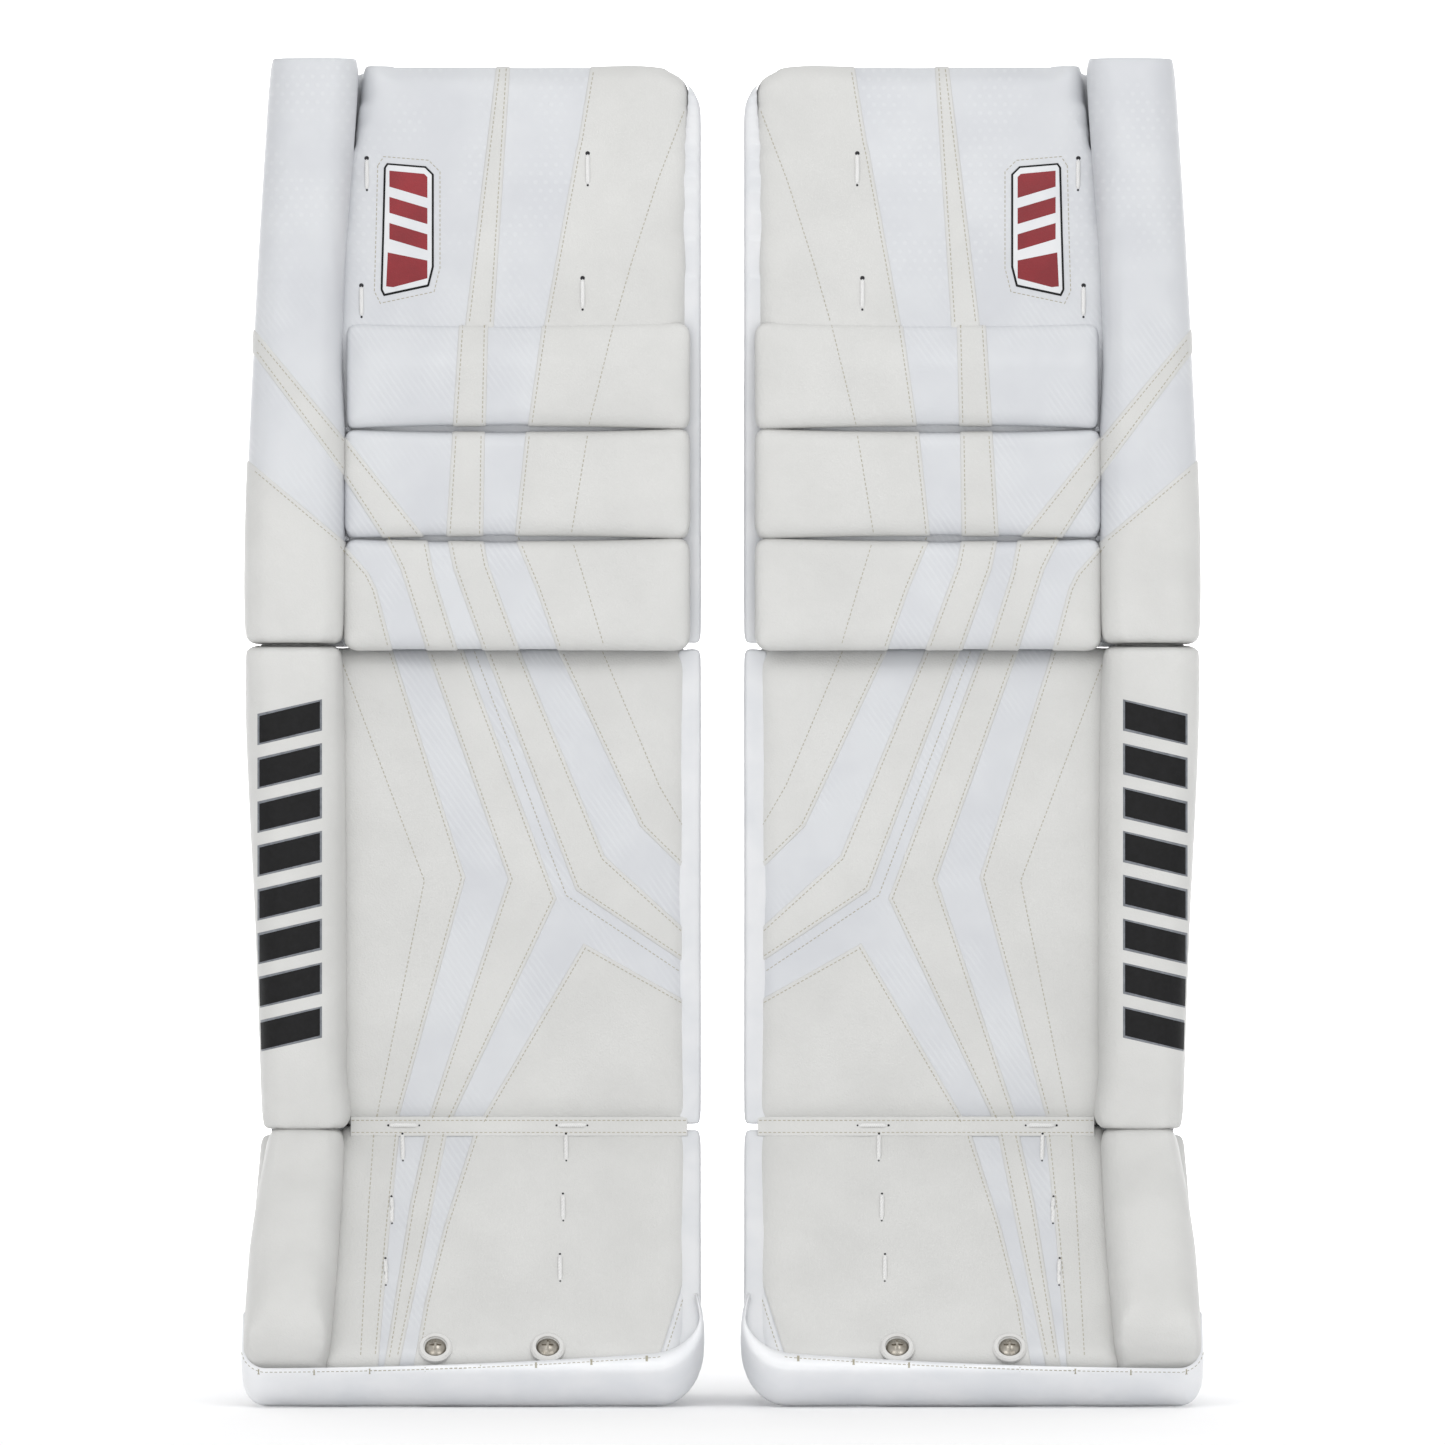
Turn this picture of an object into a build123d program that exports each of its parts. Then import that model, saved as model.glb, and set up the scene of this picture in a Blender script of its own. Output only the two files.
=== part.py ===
from build123d import *
import os
from math import asin, cos, degrees, radians, sin, tan

# A pair of ice hockey goalie leg pads that stand side by side on the soles of their boots.
# Millimetres, +Z up, fronts towards -Y, +X to the viewer's right. The origin is on the floor,
# midway between the pads and midway between their foremost and rearmost points.
# "right" and "left" are the wearer's: the right pad stands at -X, and the left pad mirrors it.
#
# One pad is drawn in its own frame: x runs from the outer edge (negative) to the inner edge,
# y is 0 on the shin's front face and grows towards the leg, z is the height above the floor.

# ---- driving dimensions of one pad ----
HALF_WIDTH = 139.7           # the pad is 279.4 wide at the knee, the widest that the rules allow
PAD_GAP = 26.0               # free space between the two pads
DEPTH_SHIFT = -26.33         # centres the depth of the pair on the origin

DEPTH = 46.0                 # front face to back face, above the boot
TOE_DEPTH = 36.0             # front face to underside, at the toe
BOOT_TILT = radians(37.5)    # the boot's face leans this far from upright
BOOT_BREAK = 166.0           # height of the line where the pad flexes above the boot
KNEE_BREAK = 463.0           # height of the line where the pad flexes below the knee
THIGH_BEND = 655.0           # above this height the thigh rise curves back
THIGH_RADIUS = 420.0         # radius of that curve on the front face
FACE_TOP = 819.0             # height of the face's top edge
ROLL_TOP = 823.2             # height of the outer roll's front top edge
TOP_CORNER = 27.0            # radius of the thigh rise's top inner corner

COVER = 2.0                  # leather and its backing
SLACK = 0.3                  # air between a foam core and its cover
SEAM = 0.4                   # air where one soft piece lies on another
BREAK_GAP = 0.6              # half the gap between two sections at the line where they flex
BACK_WEDGE = radians(11.0)   # opening behind a flex line, for bending back
ROLL_WEDGE = radians(5.0)    # each roll end's share of the opening in front of the boot's flex line
KNEE_WEDGE = radians(2.6)    # the same at the knee's flex line

ROLL_PROUD = 30.0            # outer roll in front of the face
ROLL_SEAT = 20.0             # depth of the step that the outer roll sits in
ROLL_ROUND = 16.0            # rounding of the outer roll's long edges
BOOT_OUTER_X = -135.0        # the outer roll's two long edges on the boot
ROLL_INNER_X = -77.5
BAND_X = 132.7               # the inner edge band runs from here to the inner edge
KNEE_ROLL_PROUD = 17.0
KNEE_ROLL_EDGES = (464.2, 527.5, 594.5, 659.5)
KNEE_ROLL_LEFTS = (-78.5, -78.7, -77.5)   # where the lower, middle and upper knee rolls start

LAP = 1.2                    # toe binding's thickness on the face and the underside
BINDING = 2.4                # and over the toe's end
BINDING_FACE, BINDING_UNDER = 3.0, 7.0

CHANNEL_X, CHANNEL_Y = 6.0, 96.0     # centre of the round leg channel
FLAP_IN, FLAP_OUT = 60.0, 72.0       # radii of the calf wing, the calf wrap and the knee wing
WING_END, WRAP_END = 125.0, 62.0     # where the wing and the wrap end, in degrees round the channel
STRAP = 2.6                          # thickness of a strap
STRAP_START = 130.0                  # where a strap is sewn to its wing, in degrees
CALF_STRAP_END, KNEE_STRAP_END = 65.0, 20.5
CALF_Z = (192.0, 432.0)
KNEE_Z = (486.0, 648.0)
CALF_STRAPS_Z = (240.0, 374.0)
STRAP_WIDTH = 36.0
LINER, LINER_HEIGHT = 12.0, 236.0    # leg channel liner
LINER_SIDE_GAP = 2.0                 # between the liner and each flap
KNEE_BLOCK = (85.0, 70.0, 160.0)
KNEE_BLOCK_X, KNEE_BLOCK_Z = 82.5, 560.0
KNEE_BLOCK_ROUND = 14.0

SIDE_FLAP_X = 113.0          # middle of each side flap of the boot
SIDE_FLAP = 6.0              # its thickness
SIDE_FLAP_SETBACK = 10.0     # it starts this far behind the toe's underside
SIDE_FLAP_REAR = ((92.0, 0.0), (98.0, 24.0), (86.0, 112.0))   # (y, z) down its rear edge
BOOT_STRAP_Z = (62.0, 92.0)
BOOT_STRAP_Y = 101.5         # where the boot strap is sewn on
BOOT_STRAP_BOW = 22.0        # how far the strap bows out behind

SCREW_X = (-21.0, 47.0)      # the two toe screws
SCREW_S = 164.0              # their distance from the boot break, along the face
SCREW_R = 2.4
HEAD_R = 7.0
HEAD_SEAT = 1.4              # the head starts this far in front of the face
HEAD_HEIGHT = 3.4
HEAD_DOME = 9.0              # radius of the head's dome
CROSS_WIDTH, CROSS_DEPTH = 1.4, 1.4   # cross recess in the head
WASHER_R = 10.5
WASHER_HEIGHT = 3.3
BRIDGE_LIFT = 9.0            # gap between the toe bridge and the boot's underside
BRIDGE_PLATE = 4.0
BRIDGE_S = (145.0, 170.0)    # from and to, along the boot
BRIDGE_FOOT_S = 157.0        # its feet start here
BRIDGE_FOOT = 14.0           # width of a foot
LACE_HOLE_R = 5.0            # for the skate's toe tie
LACE_HOLE_S = 153.0

LACE_R = 1.6
LACE_LENGTH = 19.0
LACE_LIFT = 1.7              # a lace's middle is this far in front of the face
THIGH_LACES = ((70.0, 754.0), (67.0, 677.5), (-65.5, 751.0), (-68.5, 673.0))   # (x, z)
BOOT_LACES_DOWN = ((-43.0, 15.0), (-49.0, 62.0), (-52.0, 108.0), (57.0, 15.0), (55.5, 60.0), (54.0, 105.0))
BOOT_LACES_ACROSS = (-42.5, 60.5)
BOOT_LACES_ACROSS_S = 3.0    # their distance from the boot break

TALL = 900.0                 # more than the pad's height, for cutting outlines
WIDE = 180.0                 # more than half the pad's width
ALL_DEPTH = 200.0            # more than the pad reaches in front of or behind its face

TOP_ANGLE = asin((FACE_TOP - THIGH_BEND) / THIGH_RADIUS)
ROLL_TOP_ANGLE = asin((ROLL_TOP - THIGH_BEND) / (THIGH_RADIUS + ROLL_PROUD))
# Length of the boot as far as its toe binding's end, which just meets the floor
TOE_S = (BOOT_BREAK - (TOE_DEPTH + LAP) * sin(BOOT_TILT)) / cos(BOOT_TILT)
BOOT_S = TOE_S - BINDING     # length of the boot's face


# ---- places on the pad ----
def boot_at(along, proud):
    """(y, z) on the boot: along the face from the boot break, proud of the face."""
    y = -along * sin(BOOT_TILT) - proud * cos(BOOT_TILT)
    z = BOOT_BREAK - along * cos(BOOT_TILT) + proud * sin(BOOT_TILT)
    return y, z


def thigh_at(angle, proud):
    """(y, z) on the thigh rise's curve, proud of the face."""
    radius = THIGH_RADIUS + proud
    return THIGH_RADIUS - radius * cos(angle), THIGH_BEND + radius * sin(angle)


def round_channel(angle, radius):
    """(x, y) round the leg channel, angle in degrees."""
    return CHANNEL_X + radius * cos(radians(angle)), CHANNEL_Y + radius * sin(radians(angle))


def boot_plane(x, along, proud):
    """Plane on the boot with its normal out of the face and its x across the pad."""
    y, z = boot_at(along, proud)
    return Plane(origin=(x, y, z), x_dir=(1, 0, 0), z_dir=(0, -cos(BOOT_TILT), sin(BOOT_TILT)))


# ---- solids from flat outlines ----
def across(outline, x0, x1):
    """Solid between x0 and x1 from an outline of (y, z) points."""
    return extrude(Plane.YZ.offset(x0) * outline, amount=x1 - x0)


def deep(outline, y0=-ALL_DEPTH, y1=ALL_DEPTH):
    """Solid between y0 and y1 from an outline of (x, z) points."""
    return extrude(Plane.XZ.offset(-y1) * outline, amount=y1 - y0)


def tall(outline, z0, z1):
    """Solid between z0 and z1 from an outline of (x, y) points."""
    return extrude(Plane.XY.offset(z0) * outline, amount=z1 - z0)


def polygon(*points):
    return make_face(Polyline(*points, close=True))


# ---- front outlines, as (x, z) faces of the whole pad ----
def outer_edge(inset):
    """The pad's outer edge, moved in by the inset: it bulges at the knee and draws in at the boot."""
    def at(x, z):
        return x + inset, z
    return [
        Polyline(at(-134.5, -20), at(BOOT_OUTER_X, 95), at(-129, 170)),
        Spline(at(-129, 170), at(-130.5, 247), at(-136, 370), at(-HALF_WIDTH, KNEE_BREAK)),
        Spline(at(-HALF_WIDTH, KNEE_BREAK), at(-136, 588), at(-127, 760), at(-120, TALL)),
    ]


def roll_edge(shift):
    """The crease between the outer roll and the face, moved across by the shift."""
    def at(x, z):
        return x + shift, z
    return [
        Polyline(at(ROLL_INNER_X, -20), at(ROLL_INNER_X, 170), at(-79.5, KNEE_BREAK)),
        Spline(at(-79.5, KNEE_BREAK), at(-79.7, 595), at(-78, 674), at(-67.4, 822), at(-60, TALL)),
    ]


def between(left, right):
    """Face between two edges that run from the bottom to the top."""
    bottom = Line(left[0] @ 0, right[0] @ 0)
    top = Line(left[-1] @ 1, right[-1] @ 1)
    return make_face(left + right + [bottom, top])


def straight_edge(x):
    return [Line((x, -20), (x, TALL))]


# ---- side outlines, as (y, z) faces ----
def boot_side(inset=0.0):
    face = polygon(
        (0, BOOT_BREAK - BREAK_GAP),
        boot_at(BOOT_S, 0),
        boot_at(BOOT_S, -TOE_DEPTH),
        (DEPTH, BOOT_BREAK - BREAK_GAP - DEPTH * tan(BACK_WEDGE)),
    )
    return offset(face, amount=-inset, kind=Kind.INTERSECTION) if inset else face


def shin_side(inset=0.0):
    low, high = BOOT_BREAK + BREAK_GAP + inset, KNEE_BREAK - BREAK_GAP - inset
    return polygon((inset, low), (DEPTH - inset, low), (DEPTH - inset, high), (inset, high))


def thigh_side(inset=0.0):
    low = KNEE_BREAK + BREAK_GAP + inset
    top = TOP_ANGLE - inset / THIGH_RADIUS
    front, back = -inset, inset - DEPTH
    edges = [
        Line((inset, THIGH_BEND), (inset, low)),
        Polyline((inset, low), (-back, low - back * tan(BACK_WEDGE)), (-back, THIGH_BEND)),
        ThreePointArc(thigh_at(0, front), thigh_at(top / 2, front), thigh_at(top, front)),
        ThreePointArc(thigh_at(0, back), thigh_at(top / 2, back), thigh_at(top, back)),
        Line(thigh_at(top, front), thigh_at(top, back)),
    ]
    return make_face(edges)


def boot_roll_side():
    """Outer roll along the boot: mitred at the break, rounded down to the toe."""
    mitre = BOOT_TILT / 2 - ROLL_WEDGE
    reach = ROLL_PROUD / cos(BOOT_TILT - mitre)
    end = BOOT_S - BINDING_FACE - SEAM
    shoulder = boot_at(end - ROLL_PROUD, ROLL_PROUD)
    bulge = boot_at(end - 0.3 * ROLL_PROUD, 0.72 * ROLL_PROUD)
    break_z = BOOT_BREAK - BREAK_GAP
    edges = [
        Polyline(
            boot_at(end, 0),
            boot_at(BOOT_S, 0),
            boot_at(BOOT_S, -ROLL_SEAT),
            boot_at(-ROLL_SEAT * tan(BOOT_TILT / 2), -ROLL_SEAT),
            (ROLL_SEAT, break_z - ROLL_SEAT * tan(BACK_WEDGE)),
            (0, break_z),
            (-reach * cos(mitre), break_z + reach * sin(mitre)),
            shoulder,
        ),
        ThreePointArc(shoulder, bulge, boot_at(end, 0)),
    ]
    return make_face(edges)


def shin_roll_side():
    low, high = BOOT_BREAK + BREAK_GAP, KNEE_BREAK - BREAK_GAP
    return polygon(
        (ROLL_SEAT, low),
        (0, low),
        (-ROLL_PROUD, low + ROLL_PROUD * tan(BOOT_TILT / 2 + ROLL_WEDGE)),
        (-ROLL_PROUD, high - ROLL_PROUD * tan(KNEE_WEDGE)),
        (0, high),
        (ROLL_SEAT, high),
    )


def thigh_roll_side():
    low = KNEE_BREAK + BREAK_GAP
    edges = [
        Polyline(
            (-ROLL_PROUD, THIGH_BEND),
            (-ROLL_PROUD, low + ROLL_PROUD * tan(KNEE_WEDGE)),
            (0, low),
            (ROLL_SEAT, low + ROLL_SEAT * tan(BACK_WEDGE)),
            (ROLL_SEAT, THIGH_BEND),
        ),
        ThreePointArc(*(thigh_at(ROLL_TOP_ANGLE * part, ROLL_PROUD) for part in (0, 0.5, 1))),
        ThreePointArc(*(thigh_at(ROLL_TOP_ANGLE * part, -ROLL_SEAT) for part in (0, 0.5, 1))),
        Line(thigh_at(ROLL_TOP_ANGLE, ROLL_PROUD), thigh_at(ROLL_TOP_ANGLE, -ROLL_SEAT)),
    ]
    return make_face(edges)


# ---- the padded body: covers, cores, rolls and edge bands ----
def stepped(side, inset, seat_side):
    """Face slab of a section, less the step that the outer roll sits in."""
    front = between(outer_edge(inset), straight_edge(BAND_X - SEAM - inset))
    body = across(side(inset), -WIDE, WIDE) & deep(front)
    seat_front = between(outer_edge(-20.0), roll_edge(SEAM + inset))
    seat = across(seat_side(ROLL_SEAT + SEAM + inset), -WIDE, 0)
    return body - (deep(seat_front) & seat) - beyond_top_corner(inset)


def beyond_top_corner(inset):
    """What the rounding of the thigh rise's top inner corner takes away."""
    middle_x, middle_z = HALF_WIDTH - TOP_CORNER, FACE_TOP - TOP_CORNER
    reach = 2 * TOP_CORNER
    corner = Pos(middle_x + reach / 2, middle_z + reach / 2) * Rectangle(reach, reach)
    waste = corner - Pos(middle_x, middle_z) * Circle(TOP_CORNER - inset)
    return deep(waste)


def boot_seat(depth):
    heel = boot_at(-depth * tan(BOOT_TILT / 2), -depth)
    beyond_toe = TOE_S + 20
    return polygon(boot_at(-60, 60), boot_at(beyond_toe, 60), boot_at(beyond_toe, -depth), heel, (depth, TALL))


def shin_seat(depth):
    return polygon((-60, 0), (depth, 0), (depth, TALL), (-60, TALL))


def thigh_seat(depth):
    back = [thigh_at(TOP_ANGLE * part, -depth) for part in (0, 0.5, 1)]
    beyond = thigh_at(TOP_ANGLE, 60)
    end_y, end_z = back[2]
    edges = [
        Line((depth, 0), (depth, THIGH_BEND)),
        ThreePointArc(*back),
        Polyline(back[2], (end_y + 20, end_z + 60), (-60, beyond[1] + 60), (-60, 0), (depth, 0)),
    ]
    return make_face(edges)


def cover_and_core(side, seat_side, cut=None):
    """A section's casing as a shell, and the foam inside it."""
    outside = stepped(side, 0.0, seat_side)
    inside = stepped(side, COVER, seat_side)
    core = stepped(side, COVER + SLACK, seat_side)
    if cut:
        outside -= cut
        core -= cut
    return outside - inside, core


def outer_roll(side):
    """One length of the outer roll."""
    return across(side(), -WIDE, 0) & deep(between(outer_edge(0.0), roll_edge(0.0)))


def rounded_roll(side):
    """A length of the outer roll above the boot, with its long front edges rounded."""
    roll = outer_roll(side)
    front = [edge for edge in roll.edges() if edge.length > 100 and edge.center().Y < -ROLL_SEAT]
    return fillet(front, ROLL_ROUND)


def rounded_boot_roll():
    """The outer roll's length on the boot, rounded in its section across the boot."""
    section = Plane(origin=(0, 0, BOOT_BREAK), x_dir=(1, 0, 0), z_dir=(0, -sin(BOOT_TILT), -cos(BOOT_TILT)))
    height = ROLL_PROUD + 60.0
    corners = RectangleRounded(ROLL_INNER_X - BOOT_OUTER_X, height, ROLL_ROUND)
    bar = section * (Pos((ROLL_INNER_X + BOOT_OUTER_X) / 2, ROLL_PROUD - height / 2) * corners)
    return outer_roll(boot_roll_side) & extrude(bar, amount=ALL_DEPTH, both=True)


def inner_edge(side):
    """The side wall along the pad's inner edge."""
    return across(side(), BAND_X, HALF_WIDTH)


def knee_roll(number):
    """One of the three rolls across the knee, its front edges rounded."""
    low, high = KNEE_ROLL_EDGES[number] + SEAM, KNEE_ROLL_EDGES[number + 1] - SEAM
    left, right = KNEE_ROLL_LEFTS[number], BAND_X - SEAM
    middle = ((left + right) / 2, -(KNEE_ROLL_PROUD + SEAM) / 2, (low + high) / 2)
    roll = Pos(*middle) * Box(right - left, KNEE_ROLL_PROUD - SEAM, high - low)
    front = roll.faces().sort_by(Axis.Y)[0]
    return fillet(front.edges(), 9.0)


# ---- the leg side: wings, wrap, straps and liners ----
def hooked(end_angle):
    """Top outline of the outer wing: straight back from a round hinge end, then round the leg."""
    middle = (FLAP_IN + FLAP_OUT) / 2
    half = (FLAP_OUT - FLAP_IN) / 2
    hinge_x, hinge_y = CHANNEL_X - middle, DEPTH + SEAM + half
    sweep = end_angle - 180.0
    edges = [
        ThreePointArc((hinge_x - half, hinge_y), (hinge_x, hinge_y - half), (hinge_x + half, hinge_y)),
        Line((hinge_x - half, hinge_y), round_channel(180, FLAP_OUT)),
        Line((hinge_x + half, hinge_y), round_channel(180, FLAP_IN)),
        CenterArc((CHANNEL_X, CHANNEL_Y), FLAP_OUT, 180, sweep),
        CenterArc((CHANNEL_X, CHANNEL_Y), FLAP_IN, 180, sweep),
        Line(round_channel(end_angle, FLAP_IN), round_channel(end_angle, FLAP_OUT)),
    ]
    return make_face(edges)


def strap_outline(end_angle):
    """Top outline of a strap that lies just outside a wing, with a round hinge end."""
    inner, outer = FLAP_OUT + SEAM, FLAP_OUT + SEAM + STRAP
    middle = (inner + outer) / 2
    sweep = end_angle - STRAP_START
    edges = [
        CenterArc((CHANNEL_X, CHANNEL_Y), inner, STRAP_START, sweep),
        CenterArc((CHANNEL_X, CHANNEL_Y), outer, STRAP_START, sweep),
        Line(round_channel(end_angle, inner), round_channel(end_angle, outer)),
        Line(round_channel(STRAP_START, inner), round_channel(STRAP_START, outer)),
    ]
    return make_face(edges) + Pos(*round_channel(STRAP_START, middle)) * Circle(STRAP / 2)


def calf_straps():
    outline = strap_outline(CALF_STRAP_END)
    return [tall(outline, z - STRAP_WIDTH / 2, z + STRAP_WIDTH / 2) for z in CALF_STRAPS_Z]


def knee_strap():
    middle = sum(KNEE_Z) / 2
    return tall(strap_outline(KNEE_STRAP_END), middle - STRAP_WIDTH / 2, middle + STRAP_WIDTH / 2)


def knee_block():
    """Landing block on the inner side, which the knee drops onto."""
    width, depth, height = KNEE_BLOCK
    block = Pos(KNEE_BLOCK_X, DEPTH + SEAM + depth / 2, KNEE_BLOCK_Z) * Box(width, depth, height)
    back = block.faces().sort_by(Axis.Y)[-1]
    return fillet(back.edges(), KNEE_BLOCK_ROUND)


def leg_channel_pad():
    """Soft liner on the shin's back, between the calf wing and the calf wrap."""
    width = 2 * (FLAP_IN - LINER_SIDE_GAP)
    return Pos(CHANNEL_X, DEPTH + SEAM + LINER / 2, sum(CALF_Z) / 2) * Box(width, LINER, LINER_HEIGHT)


def side_flap(x):
    """Side flap of the boot, which runs back beside the skate and stands on the floor."""
    toe_y, toe_z = boot_at(BOOT_S, -TOE_DEPTH)
    heel_y, heel_z = DEPTH, BOOT_BREAK - BREAK_GAP - DEPTH * tan(BACK_WEDGE)
    slope = (heel_z - toe_z) / (heel_y - toe_y)

    def under_boot(y):
        """Height just under the boot's back face."""
        return toe_z + (y - toe_y) * slope - 2 * SEAM

    start_y = toe_y + SIDE_FLAP_SETBACK
    outline = polygon(
        (start_y, 0),
        *SIDE_FLAP_REAR,
        (heel_y + SIDE_FLAP, heel_z - SIDE_FLAP),
        (heel_y - SIDE_FLAP, under_boot(heel_y - SIDE_FLAP)),
        (start_y, under_boot(start_y)),
    )
    return across(outline, x - SIDE_FLAP / 2, x + SIDE_FLAP / 2)


def boot_strap():
    """Strap behind the skate, from the outer side flap round to the inner one."""
    half = STRAP / 2
    arcs = [
        ThreePointArc(
            (-SIDE_FLAP_X, BOOT_STRAP_Y + side), (0, BOOT_STRAP_Y + BOOT_STRAP_BOW + side),
            (SIDE_FLAP_X, BOOT_STRAP_Y + side),
        )
        for side in (-half, half)
    ]
    outline = make_face(arcs + [Line(arcs[0] @ 0, arcs[1] @ 0), Line(arcs[0] @ 1, arcs[1] @ 1)])
    outline += Pos(-SIDE_FLAP_X, BOOT_STRAP_Y) * Circle(half)
    return tall(outline, *BOOT_STRAP_Z)


# ---- the toe: binding, bridge, screws and washers ----
def toe_binding():
    """Leather bound round the toe's edge, from the face to the underside."""
    outside = polygon(
        boot_at(BOOT_S - BINDING_FACE, LAP), boot_at(TOE_S, LAP), boot_at(TOE_S, -TOE_DEPTH - LAP),
        boot_at(BOOT_S - BINDING_UNDER, -TOE_DEPTH - LAP),
    )
    inside = polygon(
        boot_at(BOOT_S - 60, SEAM / 4), boot_at(BOOT_S + SEAM / 4, SEAM / 4),
        boot_at(BOOT_S + SEAM / 4, -TOE_DEPTH - SEAM / 4), boot_at(BOOT_S - 60, -TOE_DEPTH - 4),
    )
    wrap = across(outside - inside, -WIDE, WIDE)
    return wrap & deep(between(outer_edge(0.0), straight_edge(HALF_WIDTH)))


def on_boot(shape, x, along, proud):
    return boot_plane(x, along, proud) * shape


def screw_holes():
    """Drillings for the two toe screws."""
    hole = Cylinder(SCREW_R + 0.2, 120.0)
    return [on_boot(hole, x, SCREW_S, 0.0) for x in SCREW_X]


def toe_screws():
    """Two pan-head screws that reach from the face to the toe bridge."""
    length = TOE_DEPTH + BRIDGE_LIFT + BRIDGE_PLATE + HEAD_SEAT
    shaft = Pos(0, 0, HEAD_SEAT - length / 2) * Cylinder(SCREW_R, length)
    top = HEAD_SEAT + HEAD_HEIGHT
    under_head = Pos(0, 0, HEAD_SEAT + HEAD_DOME / 2) * Cylinder(HEAD_R, HEAD_DOME)
    head = Pos(0, 0, top - HEAD_DOME) * Sphere(HEAD_DOME) & under_head
    slot = Box(HEAD_R, CROSS_WIDTH, 2 * CROSS_DEPTH)
    cross = Pos(0, 0, top) * (slot + Rot(Z=90) * slot)
    return [on_boot(shaft + head - cross, x, SCREW_S, 0.0) for x in SCREW_X]


def toe_washers():
    """Two cup washers under the screw heads."""
    cup = tall(Circle(WASHER_R), SEAM / 4, WASHER_HEIGHT)
    rim = cup.edges().group_by(Axis.Z)[-1]
    cup = chamfer(rim, 1.2)
    cup -= tall(Circle(HEAD_R + 0.3), HEAD_SEAT - SEAM / 4, WASHER_HEIGHT + 1.0)
    cup -= tall(Circle(SCREW_R + 0.3), -1.0, WASHER_HEIGHT)
    return [on_boot(cup, x, SCREW_S, 0.0) for x in SCREW_X]


def toe_bridge():
    """Bar under the toe that the skate is tied to: a plate on two feet, one under each screw."""
    x_low, x_high = SCREW_X[0] - BRIDGE_FOOT / 2, SCREW_X[1] + BRIDGE_FOOT / 2
    s_low, s_high = BRIDGE_S
    under = TOE_DEPTH + 2 * SEAM

    def block(x0, x1, s0, s1, p0, p1):
        """Block in the boot's own directions; the boot plane's y runs up the face."""
        box = Box(x1 - x0, s1 - s0, p1 - p0)
        return on_boot(box, (x0 + x1) / 2, (s0 + s1) / 2, -(p0 + p1) / 2)

    bridge = block(x_low, x_high, s_low, s_high, under + BRIDGE_LIFT, under + BRIDGE_LIFT + BRIDGE_PLATE)
    for x in SCREW_X:
        half = BRIDGE_FOOT / 2
        bridge += block(x - half, x + half, BRIDGE_FOOT_S, s_high, under, under + BRIDGE_LIFT)
    middle = sum(SCREW_X) / 2
    bridge -= on_boot(Cylinder(LACE_HOLE_R, 20.0), middle, LACE_HOLE_S, -under - BRIDGE_LIFT)
    return bridge - screw_holes()


# ---- lacing that shows on the face ----

def thigh_lacing():
    """Short stretches of lace where it comes out through the thigh rise's eyelets."""
    laces = []
    for x, face_z in THIGH_LACES:
        angle = asin((face_z - THIGH_BEND) / THIGH_RADIUS)
        y, z = thigh_at(angle, LACE_LIFT)
        laces.append(Pos(x, y, z) * Rot(X=-degrees(angle)) * Cylinder(LACE_R, LACE_LENGTH))
    return laces


def boot_lacing():
    """Short stretches of lace down both sides of the boot, and two across it at the break."""
    down = Rot(X=90) * Cylinder(LACE_R, LACE_LENGTH)
    flat = Rot(Y=90) * Cylinder(LACE_R, LACE_LENGTH)
    laces = [on_boot(down, x, along, LACE_LIFT) for x, along in BOOT_LACES_DOWN]
    return laces + [on_boot(flat, x, BOOT_LACES_ACROSS_S, LACE_LIFT) for x in BOOT_LACES_ACROSS]


# ---- one whole pad ----
def pad():
    """All nodes of the right pad, in the pad's own frame."""
    thigh_cover, thigh_core = cover_and_core(thigh_side, thigh_seat)
    shin_cover, shin_core = cover_and_core(shin_side, shin_seat)
    boot_cover, boot_core = cover_and_core(boot_side, boot_seat, screw_holes())
    wing = hooked(WING_END)
    wrap = mirror(hooked(180.0 - WRAP_END), about=Plane.YZ.offset(CHANNEL_X))
    upper_edge = inner_edge(thigh_side) - beyond_top_corner(0.0)
    break_z = KNEE_ROLL_EDGES[3] - 3.0
    return {
        "thigh_cover": thigh_cover,
        "thigh_core": thigh_core,
        "knee_roll_upper": knee_roll(2),
        "knee_roll_middle": knee_roll(1),
        "knee_roll_lower": knee_roll(0),
        "outer_roll_upper": rounded_roll(thigh_roll_side),
        "inner_edge_upper": upper_edge - Pos(HALF_WIDTH, 0, break_z) * Box(40, 200, 2 * SEAM),
        "knee_block": knee_block(),
        "thigh_lacing": thigh_lacing(),
        "knee_wing": tall(wing, *KNEE_Z),
        "knee_strap": knee_strap(),
        "shin_cover": shin_cover,
        "shin_core": shin_core,
        "outer_roll_middle": rounded_roll(shin_roll_side),
        "inner_edge_middle": inner_edge(shin_side),
        "leg_channel_pad": leg_channel_pad(),
        "calf_wing": tall(wing, *CALF_Z),
        "calf_straps": calf_straps(),
        "calf_wrap": tall(wrap, *CALF_Z),
        "boot_cover": boot_cover,
        "boot_core": boot_core,
        "outer_roll_lower": rounded_boot_roll(),
        "inner_edge_lower": inner_edge(boot_side),
        "boot_side_flaps": [side_flap(-SIDE_FLAP_X), side_flap(SIDE_FLAP_X)],
        "toe_binding": toe_binding(),
        "toe_screws": toe_screws(),
        "toe_washers": toe_washers(),
        "toe_bridge": toe_bridge(),
        "boot_lacing": boot_lacing(),
        "boot_strap": boot_strap(),
    }


def gathered(shape):
    """One compound of solids from a shape or a list of shapes."""
    shapes = shape if isinstance(shape, list) else [shape]
    return Compound(children=[solid for item in shapes for solid in item.solids()])


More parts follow.
